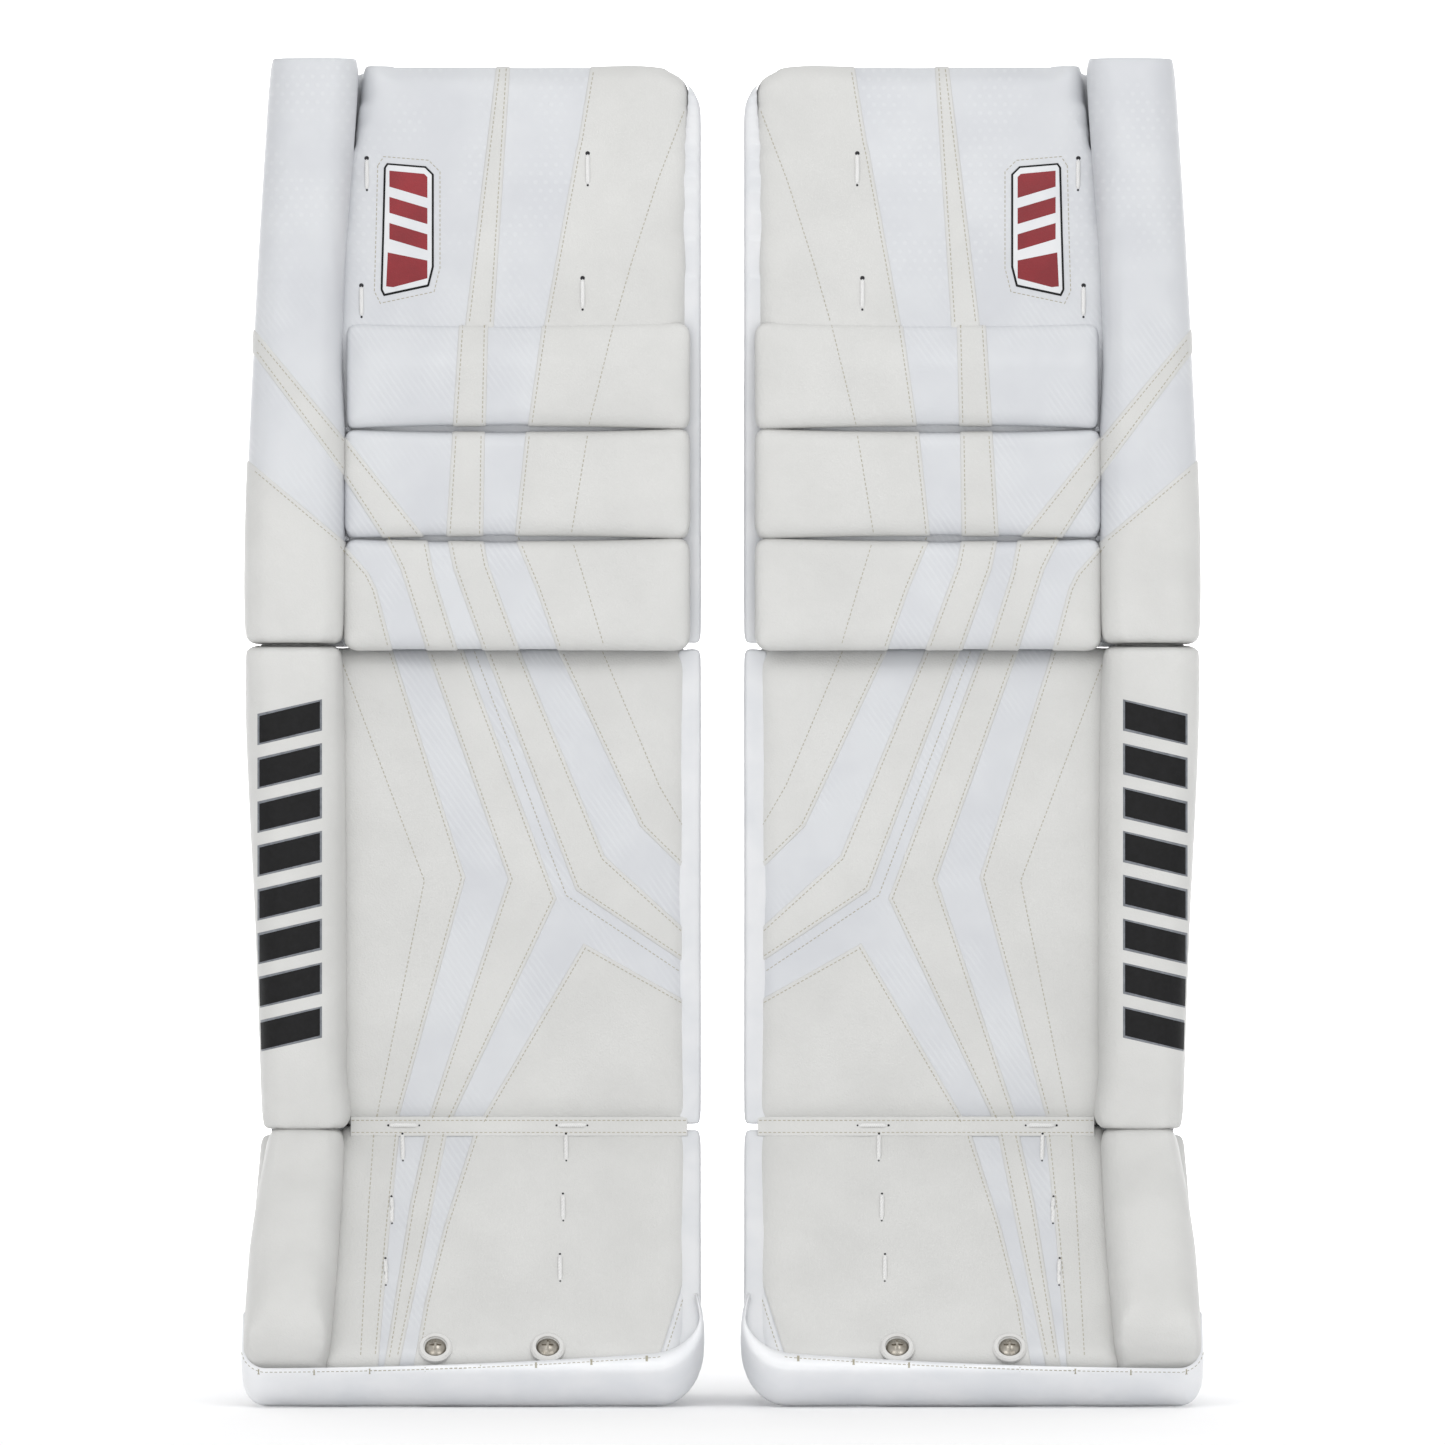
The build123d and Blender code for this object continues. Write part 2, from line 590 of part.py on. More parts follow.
def main():
    os.makedirs("parts", exist_ok=True)
    place = Pos(-HALF_WIDTH - PAD_GAP / 2, DEPTH_SHIFT, 0)
    boxes = []
    for name, shape in pad().items():
        right = place * gathered(shape)
        left = mirror(right, about=Plane.YZ)
        export_step(right, f"parts/right_{name}.step")
        export_step(left, f"parts/left_{name}.step")
        boxes.append((right.bounding_box(), name))
    front, front_name = min((box.min.Y, name) for box, name in boxes)
    back, back_name = max((box.max.Y, name) for box, name in boxes)
    print(f"depth {front:.2f} ({front_name}) to {back:.2f} ({back_name})")
    print(f"height {min(box.min.Z for box, _ in boxes):.2f} to {max(box.max.Z for box, _ in boxes):.2f}")


if __name__ == "__main__":
    main()
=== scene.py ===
from math import asin, atan2, cos, hypot, pi, radians, sin, sqrt, tan

import bmesh
import bpy
import numpy as np
from mathutils import Matrix, Vector
from mathutils.bvhtree import BVHTree


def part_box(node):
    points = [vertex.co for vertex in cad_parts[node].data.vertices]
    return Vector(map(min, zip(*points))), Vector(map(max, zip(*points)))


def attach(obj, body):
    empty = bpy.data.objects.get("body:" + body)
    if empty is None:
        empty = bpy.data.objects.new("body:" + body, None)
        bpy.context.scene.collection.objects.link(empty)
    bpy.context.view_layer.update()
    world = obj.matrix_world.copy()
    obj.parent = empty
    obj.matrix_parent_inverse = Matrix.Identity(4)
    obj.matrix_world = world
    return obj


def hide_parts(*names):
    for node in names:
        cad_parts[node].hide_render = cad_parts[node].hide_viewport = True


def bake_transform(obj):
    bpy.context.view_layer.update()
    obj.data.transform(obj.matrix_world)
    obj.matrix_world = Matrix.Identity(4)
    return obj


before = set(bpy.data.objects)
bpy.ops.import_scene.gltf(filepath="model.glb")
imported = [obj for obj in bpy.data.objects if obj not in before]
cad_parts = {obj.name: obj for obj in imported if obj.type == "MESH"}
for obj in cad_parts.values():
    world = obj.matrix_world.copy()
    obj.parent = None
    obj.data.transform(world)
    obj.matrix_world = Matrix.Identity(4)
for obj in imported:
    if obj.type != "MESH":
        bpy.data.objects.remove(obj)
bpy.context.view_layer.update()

# A pair of goalie leg pads. Everything is made once, for the right pad, in that pad's own
# millimetres: x from the outer edge (negative) to the inner edge, y from the shin's face back
# to the leg, z up from the floor. pair() then makes the right piece and its mirror image.

MM = 0.001

# ---- the pad's own frame, from the CAD ----
edge_low, edge_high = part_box("right_inner_edge_middle")
roll_low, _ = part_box("right_outer_roll_middle")
PAD_X = (edge_high.x + roll_low.x) / 2
FACE_Y = edge_low.y
HALF_WIDTH = (edge_high.x - roll_low.x) / 2 / MM
TO_WORLD = Matrix.Translation((PAD_X, FACE_Y, 0)) @ Matrix.Scale(MM, 4)
TO_PAD = TO_WORLD.inverted()
MIRROR = Matrix.Scale(-1, 4, (1, 0, 0))


def pad_box(node):
    """(lowest, highest) corner of a right-hand CAD node, in the pad's millimetres."""
    low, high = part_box("right_" + node)
    return TO_PAD @ low, TO_PAD @ high


BAND_X = pad_box("inner_edge_middle")[0].x         # the inner edge band starts here
DEPTH = pad_box("inner_edge_middle")[1].y
FLEX_GAP = 0.6                                     # half the gap at a flex line
BOOT_BREAK = pad_box("inner_edge_middle")[0].z - FLEX_GAP
KNEE_BREAK = pad_box("inner_edge_middle")[1].z + FLEX_GAP
FACE_TOP = pad_box("thigh_cover")[1].z
BOOT_TILT = radians(37.5)                          # the boot's face leans this far from upright
BACK_WEDGE = radians(11.0)                         # opening behind a flex line
ROLL_WEDGE = radians(5.0)                          # a roll end's share of the opening at the boot's flex line
KNEE_WEDGE = radians(2.6)                          # the same at the knee's flex line
THIGH_BEND = 655.0                                 # the thigh rise curves back above this height
THIGH_RADIUS = 420.0
ROLL_PROUD = 30.0                                  # outer roll in front of the face
ROLL_TOP = pad_box("outer_roll_upper")[1].z
ROLL_TOP_ANGLE = asin((ROLL_TOP - THIGH_BEND) / (THIGH_RADIUS + ROLL_PROUD))
TOE_S = 180.7                                      # length of the boot's face with its binding
OUTER_CORNER = (14.0, 17.0)                        # the toe's outer corner radii, across and along the boot
INNER_CORNER = (28.0, 38.0)
TOP_CORNER = (45.0, 38.0)                          # the thigh rise's inner corner, across and up

# UPRIGHT stands the boot's face upright, and LEANING lays it back
UP_TO_BREAK = Matrix.Translation((0, 0, BOOT_BREAK))
UPRIGHT = UP_TO_BREAK @ Matrix.Rotation(BOOT_TILT, 4, "X") @ Matrix.Translation((0, 0, -BOOT_BREAK))
LEANING = UPRIGHT.inverted()

# ---- the camera: outlines are drawn on the plane of the face, as seen from here ----
EYE_DISTANCE = 8.0
EYE_HEIGHT = 0.415
VIEW_WIDTH = 0.8854                                # width of the view at the face
EYE = TO_PAD @ Vector((0, FACE_Y - EYE_DISTANCE, EYE_HEIGHT))


def seen(point):
    """(x, z) where a point shows on the plane of the face."""
    part = -EYE.y / (point[1] - EYE.y)
    return EYE.x + (point[0] - EYE.x) * part, EYE.z + (point[2] - EYE.z) * part


# ---- materials ----
class Look:
    """A procedural material on the object's own coordinates, in millimetres."""

    def __init__(self, name, roughness, **sockets):
        self.material = bpy.data.materials.new(name)
        self.material.use_nodes = True
        self.tree = self.material.node_tree
        self.shader = self.tree.nodes["Principled BSDF"]
        self.shader.inputs["Roughness"].default_value = roughness
        for socket, value in sockets.items():
            self.shader.inputs[socket.replace("_", " ")].default_value = value
        place = self.tree.nodes.new("ShaderNodeTexCoord")
        scale = self.tree.nodes.new("ShaderNodeMapping")
        scale.inputs["Scale"].default_value = (1 / MM, 1 / MM, 1 / MM)
        self.tree.links.new(place.outputs["Object"], scale.inputs["Vector"])
        self.place = scale.outputs["Vector"]

    def node(self, kind, inputs=(), **settings):
        made = self.tree.nodes.new("ShaderNode" + kind)
        for key, value in settings.items():
            setattr(made, key, value)
        for key, value in dict(inputs).items():
            if isinstance(value, bpy.types.NodeSocket):
                self.tree.links.new(value, made.inputs[key])
            else:
                made.inputs[key].default_value = value
        return made

    def noise(self, size, detail=3.0):
        made = self.node("TexNoise", {"Vector": self.place, "Scale": 1 / size, "Detail": detail})
        return made.outputs["Fac"]

    def cells(self, size):
        """Distance from the middle of each of many small cells."""
        return self.node("TexVoronoi", {"Vector": self.place, "Scale": 1 / size}).outputs["Distance"]

    def maths(self, operation, first, second=0.0):
        return self.node("Math", {0: first, 1: second}, operation=operation).outputs[0]

    def ramp(self, value, low, high, start=0.0, end=1.0):
        ends = {"From Min": low, "From Max": high, "To Min": start, "To Max": end}
        return self.node("MapRange", {"Value": value, **ends}).outputs["Result"]

    def along(self, across, up, back=0.0):
        """Distance in millimetres along a direction."""
        inputs = {0: self.place, 1: (across, back, up)}
        return self.node("VectorMath", inputs, operation="DOT_PRODUCT").outputs["Value"]

    def wave(self, across, up, pitch, back=0.0):
        """A wave from -1 to 1 along a direction."""
        turns = self.maths("MULTIPLY", self.along(across, up, back), 2 * pi / pitch)
        return self.maths("COSINE", turns)

    def dots(self, pitch):
        """Dots in a hexagonal lattice, 1 at their middles."""
        row = pitch * sqrt(3) / 2
        waves = [self.wave(cos(turn), sin(turn), row) for turn in (pi / 6, pi / 2, 5 * pi / 6)]
        total = self.maths("ADD", self.maths("ADD", waves[0], waves[1]), waves[2])
        return self.ramp(total, 0.6, 2.4)

    def mix(self, factor, first, second):
        made = self.node("Mix", data_type="RGBA")
        self.feed(made.inputs[0], factor)
        self.feed(made.inputs[6], first)
        self.feed(made.inputs[7], second)
        return made.outputs[2]

    def feed(self, socket, value):
        if isinstance(value, bpy.types.NodeSocket):
            self.tree.links.new(value, socket)
        else:
            socket.default_value = value

    def colour(self, value):
        self.feed(self.shader.inputs["Base Color"], value)

    def roughness(self, value, low, high):
        self.feed(self.shader.inputs["Roughness"], self.ramp(value, 0.0, 1.0, low, high))

    def relief(self, *layers):
        """Bumps from (height, millimetres) layers, one on the other."""
        normal = None
        for height, depth in layers:
            inputs = {"Height": height, "Distance": depth * MM, "Strength": 1.0}
            if normal:
                inputs["Normal"] = normal
            normal = self.node("Bump", inputs).outputs["Normal"]
        self.feed(self.shader.inputs["Normal"], normal)


def srgb(*channels):
    """A colour from 0 to 255 as the shader's linear values."""
    linear = []
    for channel in channels:
        value = channel / 255
        linear.append(value / 12.92 if channel < 11 else ((value + 0.055) / 1.055) ** 2.4)
    return (*linear, 1.0)


def leather(name, tint, shade, grain, roughness):
    """Coated leather: pebble grain, slow changes of tone, and painted shade that darkens the grain's hollows.
    """
    look = Look(name, roughness, Specular_IOR_Level=0.42, Coat_Weight=0.05, Coat_Roughness=0.4)
    pebbles = look.cells(grain)
    hollows = look.ramp(pebbles, 0.25, 0.75)
    slow = look.noise(45.0)
    tone = look.mix(look.ramp(slow, 0.35, 0.65), tint, shade)
    # painted shade: the colour is darkened in the grain's hollows
    look.colour(look.mix(look.maths("MULTIPLY", hollows, 0.25), tone, shade))
    look.roughness(look.noise(7.0), roughness - 0.06, roughness + 0.08)
    bumps = look.maths("SUBTRACT", 1.0, hollows)
    look.relief((look.noise(24.0, 1.0), 0.5), (bumps, 0.07), (look.noise(0.35, 2.0), 0.02))
    return look.material


def patterned_leather():
    """White leather embossed with a lattice of dots above the knee and slanted ribs below."""
    finish = {"Specular_IOR_Level": 0.45, "Coat_Weight": 0.08, "Coat_Roughness": 0.3}
    look = Look("patterned white leather", 0.42, **finish)
    tint, shade = srgb(200, 202, 205), srgb(193, 195, 199)
    dots = look.dots(6.2)
    ribs = look.ramp(look.wave(0.82, 0.57, 3.4), -0.2, 0.9)
    height = look.along(0.0, 1.0)
    above = look.ramp(height, THIGH_BEND, THIGH_BEND + 45.0)
    relief = look.node("Mix", {0: above, 2: ribs, 3: dots}, data_type="FLOAT").outputs[0]
    patches = look.ramp(look.noise(38.0, 1.0), 0.42, 0.6)
    embossed = look.maths("MULTIPLY", relief, patches)
    slow = look.mix(look.ramp(look.noise(50.0), 0.35, 0.65), tint, shade)
    look.colour(look.mix(look.maths("MULTIPLY", embossed, 0.3), slow, srgb(209, 211, 213)))
    look.roughness(look.noise(6.0), 0.36, 0.5)
    look.relief((embossed, 0.07), (look.noise(0.4, 2.0), 0.02))
    return look.material


def smooth_leather(name, tint, shade):
    """Glossier leather with a fine grain."""
    look = Look(name, 0.36, Specular_IOR_Level=0.45, Coat_Weight=0.1, Coat_Roughness=0.25)
    look.colour(look.mix(look.ramp(look.noise(30.0), 0.35, 0.65), tint, shade))
    look.roughness(look.noise(5.0), 0.3, 0.44)
    look.relief((look.noise(14.0, 2.0), 0.25), (look.cells(0.8), 0.03))
    return look.material


def plain(name, tint, shade, size, roughness, depth=0.05, **sockets):
    """A simple finish with a mottled tone and a fine texture."""
    look = Look(name, roughness, **sockets)
    look.colour(look.mix(look.ramp(look.noise(size), 0.3, 0.7), tint, shade))
    look.roughness(look.noise(size / 2), roughness - 0.05, roughness + 0.07)
    look.relief((look.noise(size / 3, 2.0), depth))
    return look.material


def woven(name, tint, shade, pitch, roughness, **sockets):
    """Yarns over and under, from two crossed waves."""
    look = Look(name, roughness, **sockets)
    over = look.wave(0.72, 0.0, pitch, 0.69)
    under = look.wave(0.0, 1.0, pitch)
    yarns = look.ramp(look.maths("MULTIPLY", over, under), -1.0, 1.0)
    look.colour(look.mix(yarns, shade, tint))
    look.roughness(look.noise(pitch), roughness - 0.05, roughness + 0.05)
    look.relief((yarns, 0.25 * pitch), (look.noise(pitch / 4, 1.0), 0.03))
    return look.material


BEIGE = leather("pebbled beige leather", srgb(202, 202, 200), srgb(196, 196, 194), 1.2, 0.5)
PATTERNED = patterned_leather()
WHITE = smooth_leather("smooth white leather", srgb(211, 212, 214), srgb(203, 205, 208))
# painted shadow: this dark grey stands in for the shadow along the edges of the leather layers and round the
# eyelets' rims
PAINTED_EDGE_SHADOW = plain("painted shadow along leather edges", srgb(140, 143, 147), srgb(112, 115, 120), 3.0, 0.6)
THREAD = plain("stitching thread", srgb(176, 171, 154), srgb(154, 149, 132), 0.6, 0.7)
LACE = woven("white lace", srgb(236, 236, 234), srgb(208, 208, 208), 0.9, 0.7)
WEBBING = woven("white webbing", srgb(206, 207, 208), srgb(140, 142, 146), 1.6, 0.75, Sheen_Weight=0.15)
NYLON = woven("white nylon", srgb(200, 201, 203), srgb(160, 162, 166), 1.1, 0.7, Sheen_Weight=0.1)
# painted shade: a dark colour standing in for the shade inside the eyelets' holes
HOLE = plain("shadowed hole", srgb(40, 40, 44), srgb(24, 24, 27), 2.0, 0.8)
# painted light: the binding faces down and gets less light, so its white is painted lighter than the white
# leather it matches
BINDING = smooth_leather("white binding leather painted lighter", srgb(231, 232, 234), srgb(224, 226, 229))
KNOT = plain("seam knot", srgb(188, 190, 193), srgb(150, 153, 158), 1.5, 0.7, 0.2)
INK = plain("black print", srgb(15, 15, 17), srgb(9, 9, 10), 4.0, 0.6, Specular_IOR_Level=0.25)
OUTLINE = plain("grey print", srgb(120, 124, 130), srgb(96, 100, 106), 4.0, 0.45)
RED = leather("red leather", srgb(140, 26, 36), srgb(118, 18, 28), 1.2, 0.5)
STEEL = plain("chromed steel", srgb(172, 167, 158), srgb(140, 134, 124), 3.0, 0.3, 0.02, Metallic=1.0)
PLASTIC = plain("white plastic", srgb(208, 208, 206), srgb(200, 199, 197), 12.0, 0.35, 0.04)
BLACK_PLASTIC = plain("black plastic", srgb(34, 34, 36), srgb(22, 22, 24), 6.0, 0.42, 0.08)


# ---- meshes ----
def cad_copy(node):
    """A right-hand CAD node in the pad's millimetres, its split corners joined."""
    shape = bmesh.new()
    shape.from_mesh(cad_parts["right_" + node].data)
    bmesh.ops.remove_doubles(shape, verts=shape.verts, dist=1e-6)
    shape.transform(TO_PAD)
    return shape


def new_object(name, mesh):
    made = bpy.data.objects.new(name, mesh)
    bpy.context.scene.collection.objects.link(made)
    return made


def evaluated_mesh(scratch):
    """The object's mesh with its modifiers applied."""
    bpy.context.view_layer.update()
    return bpy.data.meshes.new_from_object(scratch.evaluated_get(bpy.context.evaluated_depsgraph_get()))


def modified(mesh, kind, **settings):
    """A new mesh: this one with a modifier of this kind applied."""
    scratch = new_object("scratch", mesh)
    modifier = scratch.modifiers.new("change", kind)
    for key, value in settings.items():
        setattr(modifier, key, value)
    result = evaluated_mesh(scratch)
    bpy.data.objects.remove(scratch)
    return result


def coordinates(mesh):
    flat = np.empty(len(mesh.vertices) * 3)
    mesh.vertices.foreach_get("co", flat)
    return flat.reshape(-1, 3)


def set_coordinates(mesh, points):
    mesh.vertices.foreach_set("co", np.ascontiguousarray(points).ravel())
    mesh.update()


def vertex_normals(mesh):
    flat = np.empty(len(mesh.vertices) * 3)
    mesh.vertex_normals.foreach_get("vector", flat)
    return flat.reshape(-1, 3)


def turns(count):
    """Evenly spaced angles round a circle."""
    return [2 * pi * step / count for step in range(count)]


def skin_over(shape, grid, round_columns=False, look=0):
    """Quads between neighbouring rows of points. With round_columns, each row closes on itself."""
    for low, high in zip(grid, grid[1:]):
        after = [*range(1, len(low)), 0] if round_columns else range(1, len(low))
        for index, following in enumerate(after):
            face = shape.faces.new((low[index], low[following], high[following], high[index]))
            face.material_index = look


def tube(shape, grid):
    """A closed skin over rings of points, with a face over each end."""
    skin_over(shape, grid, True)
    shape.faces.new(grid[0])
    shape.faces.new(grid[-1])


def sweep(shape, points, normals, section):
    """A closed section of (across, out) points, run along a line of points, its ends closed."""
    grid = []
    for index, point in enumerate(points):
        run = points[min(index + 1, len(points) - 1)] - points[max(index - 1, 0)]
        out = normals[index].normalized()
        side = run.cross(out).normalized()
        ring = section(index / (len(points) - 1))
        grid.append([shape.verts.new(point + side * across + out * lift) for across, lift in ring])
    tube(shape, grid)


def outward(shape):
    bmesh.ops.recalc_face_normals(shape, faces=shape.faces)
    return shape


def pair(name, shape, looks, slot, body, replaces=(), across=None):
    """The right pad's piece, from a shape in the pad's millimetres, and its mirror image for the left.

    looks are its materials, slot is the CAD's but is not used, body is the CAD's, replaces the CAD nodes that
    it stands for, and across, a (body, start, end), leaves the piece unattached to any body, where it stands.
    """
    shape.transform(TO_WORLD)
    meshes = {"right": bpy.data.meshes.new("right_" + name)}
    shape.to_mesh(meshes["right"])
    shape.free()
    meshes["left"] = meshes["right"].copy()
    meshes["left"].transform(MIRROR)
    meshes["left"].flip_normals()
    for side, mesh in meshes.items():
        mesh.shade_smooth()
        mesh.materials.clear()
        for look in looks:
            mesh.materials.append(look)
        piece = new_object(f"{side}_{name}", mesh)
        if across:
            other, start, end = across
            ends = [TO_WORLD @ Vector(point) for point in (start, end)]
            if side == "left":
                ends = [MIRROR @ point for point in ends]
            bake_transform(piece)
        else:
            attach(piece, f"{side}_{body}")
        if replaces:
            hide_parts(*(f"{side}_{node}" for node in replaces))


# ---- soft pieces: copies of the CAD solids, blown up as cloth ----
class Soft:
    """How one soft piece is made from its CAD node, and what it rides on.

    voxel, shrink and cap are in millimetres: the remesh's size, how far the skin starts inside the
    solid, and how far a point may swell. leaning pieces are made with the boot stood upright.
    prepare changes the CAD copy before the remesh, and finish moves the finished surface's points.
    """

    def __init__(self, name, node, voxel, shrink, cap, looks, slot, body, replaces=None,
                 leaning=False, finish=None, prepare=None, across=None):
        self.name, self.node, self.voxel, self.shrink, self.cap = name, node, voxel, shrink, cap
        self.looks, self.slot, self.body = looks, slot, body
        self.replaces = replaces or (node,)
        self.leaning, self.finish, self.prepare, self.across = leaning, finish, prepare, across


def smooth_step(value, low, high):
    part = np.clip((value - low) / (high - low), 0, 1)
    return part * part * (3 - 2 * part)


SCREW_X = (-21.0, 47.0)
DRILLED = 3.2                 # more than a drilling's radius


def fill_drillings(shape):
    """Takes out the walls of the screw drillings and closes their ends."""
    drilled_along = Vector((0, -cos(BOOT_TILT), sin(BOOT_TILT)))
    walls = []
    for face in shape.faces:
        small = face.calc_area() < 60 and abs(face.normal.x) > 0.05
        beside_screw = min(abs(vert.co.x - x) for vert in face.verts for x in SCREW_X) < DRILLED
        if small and beside_screw and abs(face.normal.dot(drilled_along)) < 0.02:
            walls.append(face)
    bmesh.ops.delete(shape, geom=walls, context="FACES")
    bmesh.ops.holes_fill(shape, edges=[edge for edge in shape.edges if edge.is_boundary])


def square_knee_bar(points):
    """Brings a knee roll's rounded long edges forward, so that the creases between rolls are narrow."""
    deepest = -points[:, 1].min()
    depth = np.clip(-points[:, 1] / deepest, 0, 1)
    points[:, 1] = np.where(points[:, 1] < 0, -deepest * depth ** 0.55, points[:, 1])


def overhang_lower_roll(points):
    """The lowest knee roll hangs a little over the shin's face."""
    square_knee_bar(points)
    low, high = points[:, 2].min(), points[:, 2].max()
    points[:, 2] -= 5.0 * (high - points[:, 2]) / (high - low)
    lift = 1 - smooth_step(points[:, 2], low - 3.0, low + 4.0)
    points[:, 1] -= 2.2 * lift * smooth_step(points[:, 1], -9.0, -1.0)


def lean_upper_roll(points):
    """The top knee roll falls back towards the thigh's face."""
    square_knee_bar(points)
    high = points[:, 2].max()
    points[:, 1] *= 1 - 0.5 * smooth_step(points[:, 2], high - 30.0, high)


BOOT_WIDENING = 140.0         # length over which the boot's outer roll widens


def widen_boot_roll(points):
    """The boot's outer roll widens towards the toe."""
    down = np.clip((BOOT_BREAK - points[:, 2]) / BOOT_WIDENING, 0, 1)
    left = smooth_step(-points[:, 0], 78.0, 134.0)
    points[:, 0] -= down * (6.5 - 2.5 * left) - (1 - down) * 4.0 * left


def round_top_corner(points):
    """The thigh rise's top inner corner is a little fuller across and up than its CAD arc."""
    wide, tall = TOP_CORNER
    across = np.clip((points[:, 0] - (HALF_WIDTH - wide)) / wide, 0, 1)
    up = np.clip((points[:, 2] - (FACE_TOP - tall)) / tall, 0, 1)
    points[:, 0] += wide * (across * np.sqrt(1 - up ** 2 / 8) - across)
    points[:, 2] += tall * (up * np.sqrt(1 - across ** 2 / 2.5) - up)


def close_band(points):
    """An inner band's front part reaches in under the rounded edge of the face, leaving a thin crease."""
    inside = 1 - smooth_step(points[:, 0], BAND_X, HALF_WIDTH - 1.5)
    front = 1 - smooth_step(points[:, 1], 8.0, 34.0)
    points[:, 0] -= 8.0 * inside * front


def finish_shin_band(points):
    close_band(points)
    clear_ends(points, BOOT_BREAK, KNEE_BREAK)


def finish_upper_band(points):
    close_band(points)
    points[:, 2] += 4.0 * smooth_step(points[:, 2], 765.0, 800.0)
    round_top_corner(points)
    points[:, 1] -= 2.0 * low_front(points)


def low_front(points):
    """1 on the thigh's front below its bend, fading to 0 well above it and behind."""
    low = 1 - smooth_step(points[:, 2], THIGH_BEND, THIGH_BEND + 120.0)
    return low * (1 - smooth_step(points[:, 1], 2.0, 30.0))


def flat_back(points):
    """Below the thigh's bend a face's back stays flat, clear of the wings that fold behind it."""
    points[:, 1] -= np.maximum(points[:, 1] - DEPTH + 0.4, 0) * (points[:, 2] < THIGH_BEND)


def clear_ends(points, low, high, by=2.2):
    """Draws a piece's two ends in, away from the flex lines at its low and high ends."""
    points[:, 2] += by * (1 - smooth_step(points[:, 2], low, low + 20.0))
    points[:, 2] -= by * smooth_step(points[:, 2], high - 20.0, high)


def tuck_in(points, reach=8.0):
    """A face's outer edge reaches in under the outer roll, leaving a thin crease."""
    edge = smooth_step(-points[:, 0], 52.0, 66.0) * (1 - smooth_step(-points[:, 0], 84.0, 100.0))
    points[:, 0] -= reach * edge * (1 - smooth_step(points[:, 1], 10.0, 19.0))


def tuck_in_boot(points):
    """The same on the boot, where the outer roll leans outwards towards the toe."""
    points[:, 2] -= BOOT_BREAK
    lean = Matrix.Rotation(BOOT_TILT, 3, "X")
    upright = points @ np.array(lean).T
    down = np.clip(-upright[:, 2] / BOOT_WIDENING, 0, 1)
    tuck_in(upright, 5.0 + 6.5 * down)
    points[:] = upright @ np.array(lean)
    points[:, 2] += BOOT_BREAK - 1.5 * smooth_step(points[:, 2], -20.0, 0.0)


def finish_shin(points):
    tuck_in(points)
    flat_back(points)
    clear_ends(points, BOOT_BREAK, KNEE_BREAK)


def finish_thigh(points):
    """The thigh's face swells to meet the top knee roll, and its top edge runs level to the outer roll."""
    beside_roll = smooth_step(-points[:, 0], 48.0, 62.0) * smooth_step(points[:, 2], 795.0, 812.0)
    points[:, 2] = np.minimum(points[:, 2] + 6.0 * beside_roll, FACE_TOP)
    round_top_corner(points)
    tuck_in(points)
    flat_back(points)
    points[:, 1] -= 5.0 * low_front(points)


def rounded_end(points, distance, centre, radius):
    """Draws a roll's end in, within the radius of the end, towards its middle line."""
    part = np.clip((radius - distance) / radius, 0, 1)
    draw = 1 - np.sqrt(1 - 0.96 * part ** 2)
    for axis in (0, 1):
        offset = points[:, axis] - centre[axis]
        points[:, axis] -= draw * radius * np.tanh(offset / 12.0)


# The slopes of the outer roll's ends, below and above the boot's flex line
ROLL_MITRE = (tan(BOOT_TILT / 2 - ROLL_WEDGE), tan(BOOT_TILT / 2 + ROLL_WEDGE))
ROLL_MIDDLE_AT_BREAK, ROLL_MIDDLE_AT_KNEE = (-104.0, -6.0), (-108.0, -6.0)


def finish_middle_roll(points):
    front = np.maximum(-points[:, 1], 0)
    points[:, 2] -= front * ROLL_MITRE[1] * (1 - smooth_step(points[:, 2], 182.0, 225.0))
    foot = 1 - smooth_step(points[:, 2], 168.0, 205.0)
    points[:, 0] += 4.0 * foot * smooth_step(points[:, 0], -100.0, -80.0)
    rounded_end(points, points[:, 2] - BOOT_BREAK, ROLL_MIDDLE_AT_BREAK, 2.0)
    rounded_end(points, KNEE_BREAK - points[:, 2] - front * tan(KNEE_WEDGE), ROLL_MIDDLE_AT_KNEE, 5.0)


def finish_upper_roll(points):
    points[:, 0] -= 3.2 * smooth_step(points[:, 0], -105.0, -75.0) * smooth_step(points[:, 2], 580.0, 650.0)
    front = np.maximum(-points[:, 1], 0)
    rounded_end(points, points[:, 2] - KNEE_BREAK - front * tan(KNEE_WEDGE), ROLL_MIDDLE_AT_KNEE, 5.0)
    end = THIGH_BEND + (THIGH_RADIUS - points[:, 1]) * tan(ROLL_TOP_ANGLE)
    points[:, 2] += (ROLL_TOP + 2.5 - end) * smooth_step(points[:, 2] - end, -70.0, 0.0)
    points[:, 2] = np.minimum(points[:, 2], ROLL_TOP - 0.8)


def finish_lower_roll(points):
    widen_boot_roll(points)
    front = np.maximum(-points[:, 1], 0)
    points[:, 2] -= front * ROLL_MITRE[0] * smooth_step(points[:, 2], 120.0, 172.0)
    rounded_end(points, BOOT_BREAK - points[:, 2], ROLL_MIDDLE_AT_BREAK, 2.0)


